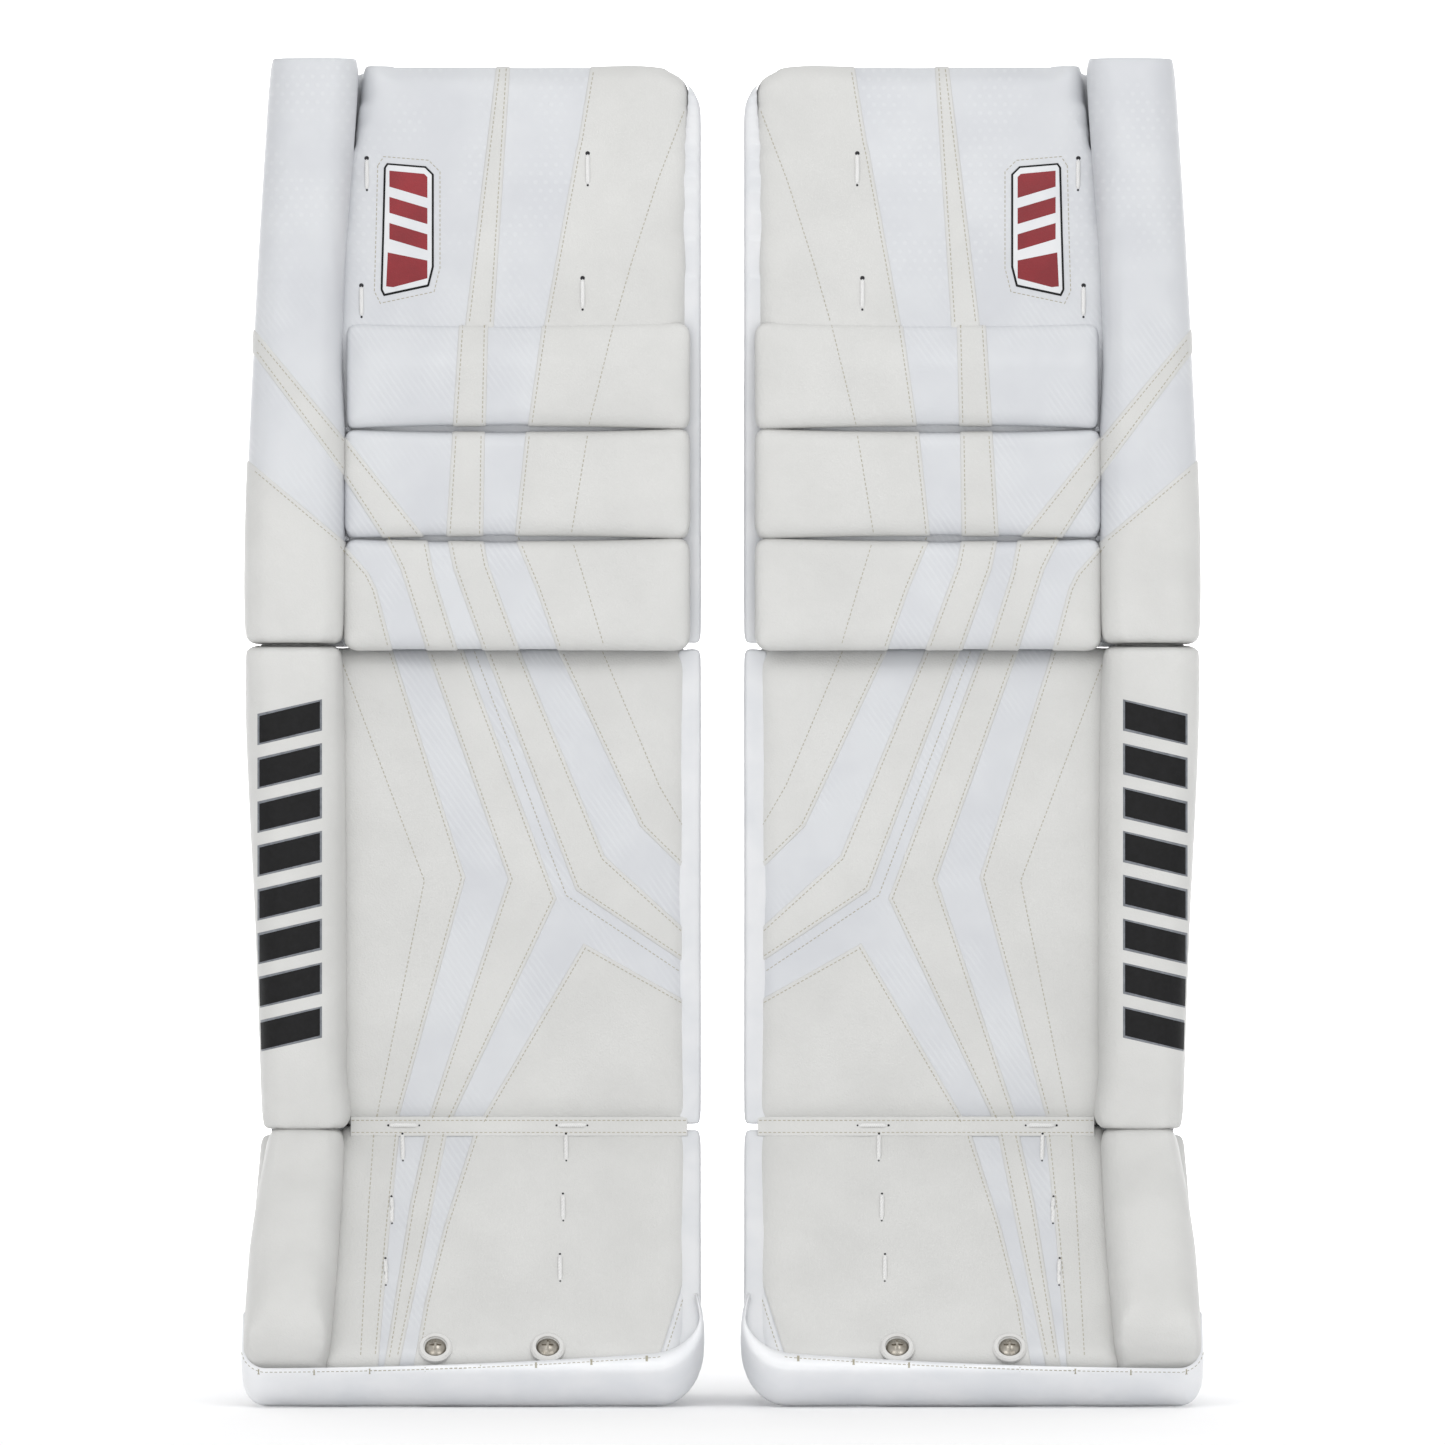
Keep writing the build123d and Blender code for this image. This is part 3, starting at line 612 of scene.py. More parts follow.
def round_toe_corners(points):
    """The toe's corners are rounded in the plane of the boot's face (the boot stands upright here)."""
    toe = BOOT_BREAK - TOE_S
    for edge_x, side, (wide, long) in ((HALF_WIDTH, 1, INNER_CORNER), (-HALF_WIDTH, -1, OUTER_CORNER)):
        across = np.clip((side * points[:, 0] - (side * edge_x - wide)) / wide, 0, 1)
        down = np.clip((toe + long - points[:, 2]) / long, 0, 1)
        points[:, 0] -= side * wide * (across - across * np.sqrt(1 - down ** 2 / 2))
        points[:, 2] += long * (down - down * np.sqrt(1 - across ** 2 / 2))


# Heights above and below the boot's flex line, given with the two rolls that meet there
ABOVE_BREAK, BELOW_BREAK = (0, 0, BOOT_BREAK + 26.0), (0, 0, BOOT_BREAK - 18.0)

SOFT = [
    Soft("thigh_face", "thigh_core", 5.0, -1.7, 2.2, [PATTERNED], "white_leather", "thigh",
         ("thigh_cover", "thigh_core"), finish=finish_thigh),
    Soft("shin_face", "shin_core", 5.0, -1.7, 2.2, [PATTERNED], "white_leather", "shin",
         ("shin_cover", "shin_core"), finish=finish_shin),
    Soft("boot_face", "boot_core", 5.0, -1.7, 2.0, [PATTERNED], "white_leather", "boot",
         ("boot_cover", "boot_core"), leaning=True, prepare=fill_drillings, finish=tuck_in_boot),
    Soft("upper_roll", "outer_roll_upper", 5.0, 0.6, 2.6, [PATTERNED], "white_leather", "thigh",
         finish=finish_upper_roll),
    Soft("middle_roll", "outer_roll_middle", 5.0, 0.6, 2.6, [BEIGE], "beige_leather", "shin",
         finish=finish_middle_roll, across=("boot", ABOVE_BREAK, BELOW_BREAK)),
    Soft("lower_roll", "outer_roll_lower", 5.0, 0.6, 2.6, [BEIGE], "beige_leather", "boot",
         leaning=True, finish=finish_lower_roll, across=("shin", BELOW_BREAK, ABOVE_BREAK)),
    Soft("knee_bar_upper", "knee_roll_upper", 4.0, -0.5, 2.0, [PATTERNED], "white_leather", "thigh",
         finish=lean_upper_roll),
    Soft("knee_bar_middle", "knee_roll_middle", 4.0, -0.5, 2.0, [PATTERNED], "white_leather", "thigh",
         finish=square_knee_bar),
    Soft("knee_bar_lower", "knee_roll_lower", 4.0, -0.5, 2.0, [PATTERNED], "white_leather", "thigh",
         finish=overhang_lower_roll),
    Soft("thigh_inner_band", "inner_edge_upper", 2.5, 0.3, 0.9, [WHITE], "white_leather", "thigh",
         finish=finish_upper_band),
    Soft("shin_inner_band", "inner_edge_middle", 2.5, 0.3, 0.9, [WHITE], "white_leather", "shin",
         finish=finish_shin_band),
    Soft("boot_inner_band", "inner_edge_lower", 2.5, 0.3, 0.9, [WHITE], "white_leather", "boot",
         leaning=True, finish=close_band),
    Soft("boot_cheeks", "boot_side_flaps", 2.5, 0.4, 0.6, [WHITE], "white_leather", "boot"),
    Soft("landing_block", "knee_block", 5.0, 1.2, 3.6, [NYLON], "leg_side_nylon", "thigh"),
    Soft("knee_side_wing", "knee_wing", 4.0, 1.3, 1.3, [WHITE], "white_leather", "knee_wing"),
    Soft("calf_side_wing", "calf_wing", 4.0, 1.3, 1.3, [WHITE], "white_leather", "calf_wing"),
    Soft("calf_inner_wrap", "calf_wrap", 4.0, 1.3, 1.3, [WHITE], "white_leather", "calf_wrap"),
    Soft("channel_liner", "leg_channel_pad", 5.0, 1.5, 2.6, [NYLON], "leg_side_nylon", "shin"),
]

SIM_FRAMES = 20
PRESSURE = 4.0
DRAWN_IN = 0.35            # share kept of the swelling's movement inwards and along the surface


def prepared(soft):
    """The CAD solid as an even skin of quads, a little smaller than the solid."""
    shape = cad_copy(soft.node)
    if soft.prepare:
        soft.prepare(shape)
    if soft.leaning:
        shape.transform(UPRIGHT)
    shape.transform(TO_WORLD)
    mesh = bpy.data.meshes.new(soft.name)
    shape.to_mesh(mesh)
    shape.free()
    skin = modified(mesh, "REMESH", mode="VOXEL", voxel_size=soft.voxel * MM)
    points = coordinates(skin) - vertex_normals(skin) * soft.shrink * MM
    set_coordinates(skin, points)
    return skin


def swollen(skins):
    """Each skin's points after its cloth has been blown up for a few frames."""
    scene = bpy.context.scene
    bags = []
    for skin in skins:
        bag = new_object("bag", skin)
        cloth = bag.modifiers.new("cloth", "CLOTH")
        cloth.settings.use_pressure = True
        cloth.settings.uniform_pressure_force = PRESSURE
        cloth.settings.effector_weights.gravity = 0.0
        cloth.point_cache.frame_start = 1
        cloth.point_cache.frame_end = SIM_FRAMES
        bags.append(bag)
    for step in range(1, SIM_FRAMES + 1):
        scene.frame_set(step)
    results = []
    for bag in bags:
        mesh = evaluated_mesh(bag)
        results.append(coordinates(mesh))
        bpy.data.meshes.remove(mesh)
    for bag in bags:
        bpy.data.objects.remove(bag)
    scene.frame_set(1)
    return results


def evened(mesh, points, passes=5):
    """The points smoothed without shrinking, by steps in and then back out."""
    pairs = np.empty(len(mesh.edges) * 2, int)
    mesh.edges.foreach_get("vertices", pairs)
    first, second = pairs[0::2], pairs[1::2]
    links = np.bincount(pairs, minlength=len(points))[:, None]
    for factor in (0.5, -0.52) * passes:
        total = np.zeros_like(points)
        np.add.at(total, first, points[second])
        np.add.at(total, second, points[first])
        points = points + factor * (total / links - points)
    return points


def fit(points, target):
    """Stretches the points across and up until they fill the target solid's width and height."""
    wanted = np.array([vert.co for vert in target.verts])
    for axis in (0, 2):
        low, high = points[:, axis].min(), points[:, axis].max()
        goal_low, goal_high = wanted[:, axis].min(), wanted[:, axis].max()
        points[:, axis] = goal_low + (points[:, axis] - low) * (goal_high - goal_low) / (high - low)


def settled(soft, skin, blown):
    """The soft piece's final surface: the swelling capped, evened out and subdivided once."""
    start = coordinates(skin)
    move = (blown - start) / MM
    outward_normal = vertex_normals(skin)
    out = np.maximum(np.sum(move * outward_normal, axis=1), 0)[:, None] * outward_normal
    move = out + DRAWN_IN * (move - out)
    length = np.maximum(np.linalg.norm(move, axis=1), 1e-6)      # never zero
    move *= (soft.cap * np.tanh(length / soft.cap) / length)[:, None]
    height = start[:, 2] / MM
    ends = np.minimum(np.abs(height - BOOT_BREAK), np.abs(height - KNEE_BREAK))
    move[:, 2] *= 0.1 + 0.9 * smooth_step(ends, 4.0, 16.0)
    set_coordinates(skin, evened(skin, start + move * MM))
    fine = modified(skin, "SUBSURF", levels=1)
    shape = bmesh.new()
    shape.from_mesh(fine)
    shape.transform(TO_PAD)
    target = cad_copy(soft.replaces[0])
    if soft.leaning:
        target.transform(UPRIGHT)
    moved(shape, lambda points: fit(points, target))
    target.free()
    if soft.leaning:
        moved(shape, round_toe_corners)
        shape.transform(LEANING)
    if soft.finish:
        moved(shape, soft.finish)
    shape.normal_update()
    return shape


def moved(shape, change):
    """Runs a change of place on all of a shape's points."""
    points = np.array([vert.co for vert in shape.verts])
    change(points)
    for vert, point in zip(shape.verts, points):
        vert.co = point


skins = [prepared(soft) for soft in SOFT]
blown = swollen(skins)
BASES = {soft.name: settled(soft, skin, points) for soft, skin, points in zip(SOFT, skins, blown)}


# ---- leather panels: copies of a surface, cut out along outlines and lifted a little ----
PANEL_ROWS = (0.0, 0.45, 1.2)        # distances in from a panel's edge
PANEL_HEIGHTS = (-0.35, 0.45, 0.75)  # and its height there
REACH = 16.0                         # outlines run on past the surface's ends


def extended(line):
    """The line run on at both ends."""
    first, second, before, last = (np.array(line[index], float) for index in (0, 1, -2, -1))
    start = first + (first - second) / np.linalg.norm(first - second) * REACH
    end = last + (last - before) / np.linalg.norm(last - before) * REACH
    return [tuple(start), *line, tuple(end)]


def strip(left, right):
    """Outline between two lines that run from top to bottom."""
    return extended(left) + extended(right)[::-1]


def offset_line(line, inset):
    """The line moved to its left by the inset, its corners mitred."""
    points = [np.array(point, float) for point in line]
    sides = []
    for first, second in zip(points, points[1:]):
        run = (second - first) / np.linalg.norm(second - first)
        sides.append(np.array((-run[1], run[0])))
    moved_points = []
    for index, point in enumerate(points):
        near = sides[max(index - 1, 0):index + 1]
        side = sum(near) / len(near)
        moved_points.append(tuple(point + side * inset / side.dot(side)))
    return moved_points


def distance_inside(points, outline):
    """Distance of each seen (x, z) from the outline, positive inside it."""
    ring = np.array(outline)
    nearest = np.full(len(points), 1e9)
    inside = np.zeros(len(points), bool)
    for first, second in zip(ring, np.roll(ring, -1, axis=0)):
        run = second - first
        part = np.clip(((points - first) @ run) / run.dot(run), 0, 1)
        nearest = np.minimum(nearest, np.linalg.norm(points - first - part[:, None] * run, axis=1))
        crosses = (first[1] > points[:, 1]) != (second[1] > points[:, 1])
        with np.errstate(divide="ignore", invalid="ignore"):
            at = first[0] + (points[:, 1] - first[1]) / (second[1] - first[1]) * (second[0] - first[0])
        inside ^= crosses & (points[:, 0] < at)
    return np.where(inside, nearest, -nearest)


def seen_all(points):
    """seen() for an array of points."""
    part = -EYE.y / (points[:, 1] - EYE.y)
    return np.stack((EYE.x + (points[:, 0] - EYE.x) * part, EYE.z + (points[:, 2] - EYE.z) * part), axis=1)


def cut_along(shape, first, second):
    """Cuts the faces near the seen line with the plane that holds the line and the eye."""
    first, second = Vector((first[0], 0, first[1])), Vector((second[0], 0, second[1]))
    normal = (first - EYE).cross(second - EYE).normalized()
    run = (second - first).normalized()
    length = (second - first).length
    near = []
    for face in shape.faces:
        middle = face.calc_center_median()
        if abs(normal.dot(middle - EYE)) < 9.0 and -12.0 < run.dot(middle - first) < length + 12.0:
            near.append(face)
    geometry = set(near)
    for face in near:
        geometry.update(face.verts)
        geometry.update(face.edges)
    bmesh.ops.bisect_plane(shape, geom=list(geometry), dist=0.01, plane_co=EYE, plane_no=normal)


def panel(base, outline, lift=0.0, behind=0.6, rows=PANEL_ROWS, heights=PANEL_HEIGHTS):
    """The part of a surface inside a seen outline, as leather laid on it with a folded edge, its edge strip
    painted with shadow.

    behind is how far a face may turn away from the front before it is left out.
    """
    shape = base.copy()
    ring = np.array(outline)
    low, high = ring.min(axis=0) - 8.0, ring.max(axis=0) + 8.0
    centres = seen_all(np.array([face.calc_center_median() for face in shape.faces]))
    far = np.any((centres < low) | (centres > high), axis=1)
    facing_back = np.array([face.normal.y > behind for face in shape.faces])
    drop = [face for face, away in zip(shape.faces, far | facing_back) if away]
    bmesh.ops.delete(shape, geom=drop, context="FACES")
    turn = 1 if area_of(outline) > 0 else -1
    for first, second in zip(outline, outline[1:] + outline[:1]):
        for row in rows:
            a, b = offset_line([first, second], row * turn)
            cut_along(shape, a, b)
    centres = seen_all(np.array([face.calc_center_median() for face in shape.faces]))
    depth = distance_inside(centres, outline)
    drop = [face for face, away in zip(shape.faces, depth < 0) if away]
    for face, inside in zip(shape.faces, depth):
        # the strip nearest the outline takes slot 1, the painted edge shadow
        face.material_index = 1 if inside < rows[1] else 0
    bmesh.ops.delete(shape, geom=drop, context="FACES")
    shape.normal_update()
    points = np.array([vert.co for vert in shape.verts])
    inside = distance_inside(seen_all(points), outline)
    height = np.interp(inside, rows, heights) + lift
    for vert, up in zip(shape.verts, height):
        vert.co += vert.normal * up
    shape.normal_update()
    return shape


def area_of(outline):
    """The outline's area, negative where it runs clockwise."""
    ring = np.array(outline)
    after = np.roll(ring, -1, axis=0)
    return np.sum(ring[:, 0] * after[:, 1] - after[:, 0] * ring[:, 1]) / 2


def shrunk(outline, inset):
    """A closed outline moved in by the inset."""
    turn = 1 if area_of(outline) > 0 else -1
    ring = [outline[-1], *outline, outline[0]]
    return offset_line(ring, inset * turn)[1:-1]


def joined(shapes):
    """One shape from several."""
    total = bmesh.new()
    for shape in shapes:
        mesh = bpy.data.meshes.new("part")
        shape.to_mesh(mesh)
        total.from_mesh(mesh)
        bpy.data.meshes.remove(mesh)
    return total


# Outlines on the plane of the face, each line from top to bottom. None runs on past the side.
LEFT_SIDE, RIGHT_SIDE = -165.0, 165.0


class Panel:
    """A beige panel between two lines, with a stitch row inside each line that it names."""

    def __init__(self, base, left, right, look="beige", rows=("left", "right"), inset=2.6):
        self.base, self.look = base, look
        self.left = left or [(LEFT_SIDE, right[0][1]), (LEFT_SIDE, right[-1][1])]
        self.right = right or [(RIGHT_SIDE, left[0][1]), (RIGHT_SIDE, left[-1][1])]
        self.stitch_lines = []
        for side, line, move in (("left", left, inset), ("right", right, -inset)):
            if line and side in rows:
                self.stitch_lines.append(offset_line(line, move))

    def outline(self):
        return strip(self.left, self.right)


PANELS = [
    Panel("thigh_face", [(14, 819), (-5, 661)], [(23, 819), (13, 661)]),
    Panel("thigh_face", [(72, 820), (64, 771), (62.5, 765), (43.5, 661)], None),
    Panel("knee_bar_upper", [(-9, 659), (-13, 596)], [(9.4, 659), (8, 596)]),
    Panel("knee_bar_upper", [(42, 659), (33, 596)], None),
    Panel("knee_bar_middle", [(-13, 594), (-17, 528)], [(7.4, 594), (6.4, 528)]),
    Panel("knee_bar_middle", [(32, 594), (25, 528)], None),
    Panel("knee_bar_middle", [(-80, 565), (-56, 528)], [(-79, 591), (-29, 528)]),
    Panel("knee_bar_lower", [(-54.5, 528), (-45, 509), (-29, 459)], [(-28, 528), (-24, 507), (-9, 459)]),
    Panel("knee_bar_lower", [(-16.5, 528), (-12.6, 509), (5.5, 459)], [(6.4, 528), (9.4, 512), (29, 459)]),
    Panel("knee_bar_lower", [(25, 528), (38, 497), (51.4, 459)], None),
    Panel("knee_bar_lower", None, [(-80, 525), (-64, 507), (-59, 497), (-49, 459)]),
    Panel("shin_face", None, [(-49, 459), (-4.5, 320), (-45, 174)]),
    Panel("shin_face", [(-29, 459), (21, 319), (-28, 172)], [(-5.5, 459), (51.4, 307), (-12.6, 172)]),
    Panel("shin_face", [(6.7, 459), (62.5, 312), (131.6, 266)], [(29, 459), (81, 333), (131.6, 287)]),
    Panel("shin_face", [(131.6, 244), (67.5, 280), (4.6, 172)], [(160, 244), (160, 172)], rows=("left",)),
    Panel("shin_face", [(51.4, 459), (102, 351), (132.6, 321)], [(165, 459), (165, 321)], rows=("left",)),
    Panel("boot_face", None, [(-45, 163), (-51.5, 99), (-57.6, 26)]),
    Panel("boot_face", [(-29.4, 163), (-39, 120), (-54, 26)], [(-15.7, 163), (-30, 92), (-44, 26)]),
    Panel("boot_face", [(0, 163), (-18, 107), (-30, 60), (-35, 31)],
          [(131.7, 163), (132.3, 112), (128.7, 72), (121, 47), (115.5, 30)], rows=("left",)),
    Panel("boot_face", [(131.9, 163), (132.5, 112), (128.9, 72), (121.2, 47), (115.7, 30)], None, "white",
          rows=("left",)),
    Panel("upper_roll", [(-135, 641), (-80.5, 567.5)], [(-134, 656), (-81, 592)]),
    Panel("upper_roll", [(-137, 440), (-81, 440)], [(-137, 575), (-81, 528)], rows=("right",)),
]

# Single stitch rows, where two layers are sewn together
STITCHES = {
    "thigh": [
        [(133.5, 801), (113, 747), (97, 697), (87, 662)],
        [(86, 659), (71, 598)],
        [(70.5, 594), (60, 530)],
        [(60.5, 527), (69.7, 497), (80, 462)],
    ],
    "shin": [
        [(-80, 451), (-30, 318), (-59, 174)],
        [(79, 459), (114, 376), (130.5, 348)],
        [(0.5, 459), (57, 309), (131.6, 259)],
        [(-78, 171.2), (131, 171.2)],
    ],
    "boot": [
        [(-61, 163), (-64, 120), (-69, 28)],
        [(-75, 163.8), (131, 163.8)],
    ],
}

# The badge on the thigh: a white patch with a dark border and slanted red bars
BADGE = [
    (-55, 755), (-53, 758), (-29, 756), (-24, 751), (-24, 694), (-27, 682), (-55, 676), (-57, 680),
    (-56, 715),
]
BADGE_BARS = [
    [(-51.5, 753), (-51.5, 743), (-28, 736), (-28, 749), (-30, 751)],
    [(-51.5, 737), (-51.5, 727), (-28, 720), (-28, 730)],
    [(-51.5, 721), (-51.5, 711), (-28, 704), (-28, 714)],
    [(-52.5, 703), (-53.5, 682), (-49, 681.5), (-28, 687), (-28, 698)],
]

# Slanted bars printed down the middle roll, where such pads carry lettering
BAR_LEFT, BAR_RIGHT = -131.0, -94.0
BAR_TOP, BAR_BOTTOM = 428.0, 213.0
BAR_COUNT = 8
BAR_SHARE = 0.62           # of the pitch
BAR_SLANT = 9.0


def bar_outlines(grow):
    """The bars, each grown by this much all round."""
    pitch = (BAR_TOP - BAR_BOTTOM) / BAR_COUNT
    bars = []
    for number in range(BAR_COUNT):
        top = BAR_TOP - number * pitch
        low = top - pitch * BAR_SHARE
        bars.append([
            (BAR_LEFT - grow, top - BAR_SLANT + grow), (BAR_LEFT - grow, low - BAR_SLANT - grow),
            (BAR_RIGHT + grow, low - grow), (BAR_RIGHT + grow, top + grow),
        ])
    return bars


SECTION = {soft.name: soft.body for soft in SOFT}
LEATHER_LAYERS = {"thigh": [], "shin": [], "boot": []}
WHITE_LAYERS = []
for item in PANELS:
    made = panel(BASES[item.base], item.outline())
    if item.look == "white":
        WHITE_LAYERS.append(made)
    else:
        LEATHER_LAYERS[SECTION[item.base]].append(made)

PRINT_ROWS = (0.0, 0.15, 0.4)
PRINT_HEIGHTS = (0.0, 0.12, 0.14)
FRONT_ONLY = -0.3            # a print stays off the sides


def prints(base, outlines, lift):
    """Thin flat shapes on a surface, as printed or sewn on."""
    made = [panel(BASES[base], outline, lift, FRONT_ONLY, PRINT_ROWS, PRINT_HEIGHTS) for outline in outlines]
    return joined(made)


badge_back = panel(BASES["thigh_face"], BADGE, heights=(-0.3, 0.5, 0.7))
badge_front = panel(BASES["thigh_face"], shrunk(BADGE, 1.4), rows=PRINT_ROWS, heights=(0.6, 0.85, 0.9))
badge_bars = prints("thigh_face", BADGE_BARS, 0.82)
bar_borders = prints("middle_roll", bar_outlines(1.3), 0.0)
bar_prints = prints("middle_roll", bar_outlines(0.0), 0.16)

FRONT_NAMES = (
    "thigh_face", "shin_face", "boot_face", "upper_roll", "middle_roll", "lower_roll",
    "knee_bar_upper", "knee_bar_middle", "knee_bar_lower",
)
SLABS = BVHTree.FromBMesh(joined([BASES["shin_face"], BASES["boot_face"]]))
leather_layers = [shape for layers in LEATHER_LAYERS.values() for shape in layers]
bare_front = joined([BASES[name] for name in FRONT_NAMES])
front = joined([bare_front, *leather_layers, *WHITE_LAYERS, badge_back])
FRONT = BVHTree.FromBMesh(front)


def hit(x, z, tree=None):
    """(point, normal) of the surface that shows at the seen (x, z)."""
    direction = (Vector((x, 0, z)) - EYE).normalized()
    point, normal, _, _ = (tree or FRONT).ray_cast(EYE, direction)
    return point, normal


# ---- stitching ----
STITCH_PITCH = 2.9
STITCH_LENGTH = 2.0
STITCH_HALF_WIDTH = 0.36


def add_stitch(shape, start, end, normal, half_width=STITCH_HALF_WIDTH, height=0.34):
    """One stitch: a small ridge of thread that goes down into the leather at both ends."""
    run = end - start
    side = run.cross(normal).normalized() * half_width
    sunk = normal * 0.12
    ring = [start + side - sunk, start - side - sunk, end - side - sunk, end + side - sunk]
    ridge = [start + run * 0.22 + normal * height, start + run * 0.78 + normal * height]
    a, b, c, d, low, high = (shape.verts.new(point) for point in ring + ridge)
    for corners in ((a, b, low), (b, c, high, low), (c, d, high), (d, a, low, high)):
        shape.faces.new(corners)


def along_line(line, pitch):
    """Evenly spaced (x, z, run x, run z) along a seen line."""
    left_over = pitch / 2
    for first, second in zip(line, line[1:]):
        length = hypot(second[0] - first[0], second[1] - first[1])
        run = ((second[0] - first[0]) / length, (second[1] - first[1]) / length)
        at = left_over
        while at < length:
            yield first[0] + run[0] * at, first[1] + run[1] * at, run[0], run[1]
            at += pitch
        left_over = at - length


def sew(shape, line):
    """A stitch row along a seen line, laid on whatever shows there."""
    half = STITCH_LENGTH / 2
    for x, z, run_x, run_z in along_line(line, STITCH_PITCH):
        start, normal = hit(x - run_x * half, z - run_z * half)
        end, _ = hit(x + run_x * half, z + run_z * half)
        if start and end and (end - start).length < 1.6 * STITCH_LENGTH and normal.y < -0.3:
            add_stitch(shape, start, end, normal)


# ---- the leather band over the boot's flex line ----
BAND_TOP, BAND_BOTTOM = 172.6, 162.6          # seen heights of its two edges
BAND_LEFT, BAND_RIGHT = -75.0, BAND_X - 1.5
BAND_EDGE = ((1.2, -0.5), (0.8, 0.3), (0.2, 0.6), (-1.0, 0.7))     # (out past the edge, height)
BAND_SOFTNESS = 1.5                           # how gently it turns from one slope to the other


def break_band():
    """A band of leather across the fold, from the shin's face to the boot's."""
    shape = bmesh.new()
    rows = [(BAND_TOP + out, height) for out, height in BAND_EDGE]
    rows += [((BAND_TOP + BAND_BOTTOM) / 2, 0.75)]
    rows += [(BAND_BOTTOM - out, height) for out, height in reversed(BAND_EDGE)]
    grid = []
    for step in range(71):
        x = BAND_LEFT + (BAND_RIGHT - BAND_LEFT) * step / 70
        probe = min(max(x, BAND_LEFT + 5.0), BAND_RIGHT - 5.0)
        shin = hit(probe, BAND_TOP + 3.0, SLABS)[0]
        boot = hit(probe, BAND_BOTTOM - 6.0, SLABS)[0]
        column = []
        for z, height in rows:
            sloping = boot.y + (z - boot.z) * tan(BOOT_TILT)
            front = -BAND_SOFTNESS * np.logaddexp(-shin.y / BAND_SOFTNESS, -sloping / BAND_SOFTNESS)
            front = max(front, min(shin.y, sloping) - 1.0)
            under = hit(probe, z, SLABS)[0]
            if height < 0 and under:
                front = under.y
            column.append(shape.verts.new((x, front - height, z)))
        grid.append(column)
    skin_over(shape, grid)
    return shape


# ---- laces and their eyelets ----
LACE_WIDE, LACE_THICK = 1.15 * 1.15, 1.15 * 0.8     # half the lace's width and thickness
LACE_STEPS = 14
ACROSS_LIFT = 3.6          # brings the laces across the boot's flex line to the middle of their band


def islands(node):
    """(lowest, highest) corner of each solid of a right-hand CAD node, sorted by the first."""
    shape = cad_copy(node)
    found = []
    left = set(shape.verts)
    while left:
        group, edge = set(), [left.pop()]
        while edge:
            vert = edge.pop()
            group.add(vert)
            for link in vert.link_edges:
                other = link.other_vert(vert)
                if other in left:
                    left.discard(other)
                    edge.append(other)
        low = Vector([min(vert.co[axis] for vert in group) for axis in range(3)])
        high = Vector([max(vert.co[axis] for vert in group) for axis in range(3)])
        found.append((low, high))
    shape.free()
    return sorted(found, key=lambda corners: tuple(corners[0]))


def lace_section(part):
    """A flattened round section that narrows where the lace goes into its eyelets."""
    swell = min(1.0, 0.45 + 5.0 * min(part, 1 - part))
    return [(LACE_WIDE * swell * cos(turn), LACE_THICK * swell * sin(turn)) for turn in turns(10)]


def lace_bit(laces, holes, start, end, radii):
    """A stretch of lace between two seen points, with an eyelet at each end."""
    points, normals = [], []
    for step in range(LACE_STEPS + 1):
        part = step / LACE_STEPS
        point, normal = hit(start[0] + (end[0] - start[0]) * part, start[1] + (end[1] - start[1]) * part)
        rise = 1.5 * min(1.0, 6.0 * min(part, 1 - part)) ** 0.6 - 0.9
        points.append(point + normal * rise)
        normals.append(normal)
    sweep(laces, points, normals, lace_section)
    for place, radius in ((start, radii[0]), (end, radii[1])):
        point, normal = hit(*place)
        eyelet(holes, point, normal, radius)


def eyelet(shape, point, normal, radius):
    """A punched hole, painted as a dark disc of shade, with a pressed rim painted with edge shadow."""
    side = normal.cross(Vector((0, 0, 1))).normalized()
    up = side.cross(normal)
    grid = []
    for share, lift in ((1.5, -0.1), (1.25, 0.3), (1.0, 0.25), (0.8, 0.06), (0.3, 0.03)):
        ring = [(side * cos(turn) + up * sin(turn)) * (radius * share) for turn in turns(14)]
        grid.append([shape.verts.new(point + reach + normal * lift) for reach in ring])
    # the rim's rings take slot 1, the painted edge shadow; the middle takes slot 0, the painted shade of the
    # hole
    skin_over(shape, grid[:3], True, 1)
    skin_over(shape, grid[2:], True, 0)
    shape.faces.new(grid[-1])


def lacing(node, radii):
    """Laces and eyelets of these radii, above and below, where the CAD model's stretches of lace are."""
    laces, holes = bmesh.new(), bmesh.new()
    for low, high in islands(node):
        middle = (low + high) / 2
        if high.x - low.x > high.z - low.z:
            height = middle.z + ACROSS_LIFT
            start, end = (low.x, middle.y, height), (high.x, middle.y, height)
        else:
            start, end = (middle.x, low.y, high.z), (middle.x, high.y, low.z)
        lace_bit(laces, holes, seen(start), seen(end), radii)
    return outward(laces), outward(holes)


# ---- the toe binding, swept round the toe in the boot's upright frame ----
TOE_Z = BOOT_BREAK - TOE_S
TOE_OUTER, TOE_INNER = -137.2, HALF_WIDTH + 0.4
BINDING_LAPS = (0.5, 14.0)                                     # on the face, at the outer and the inner end


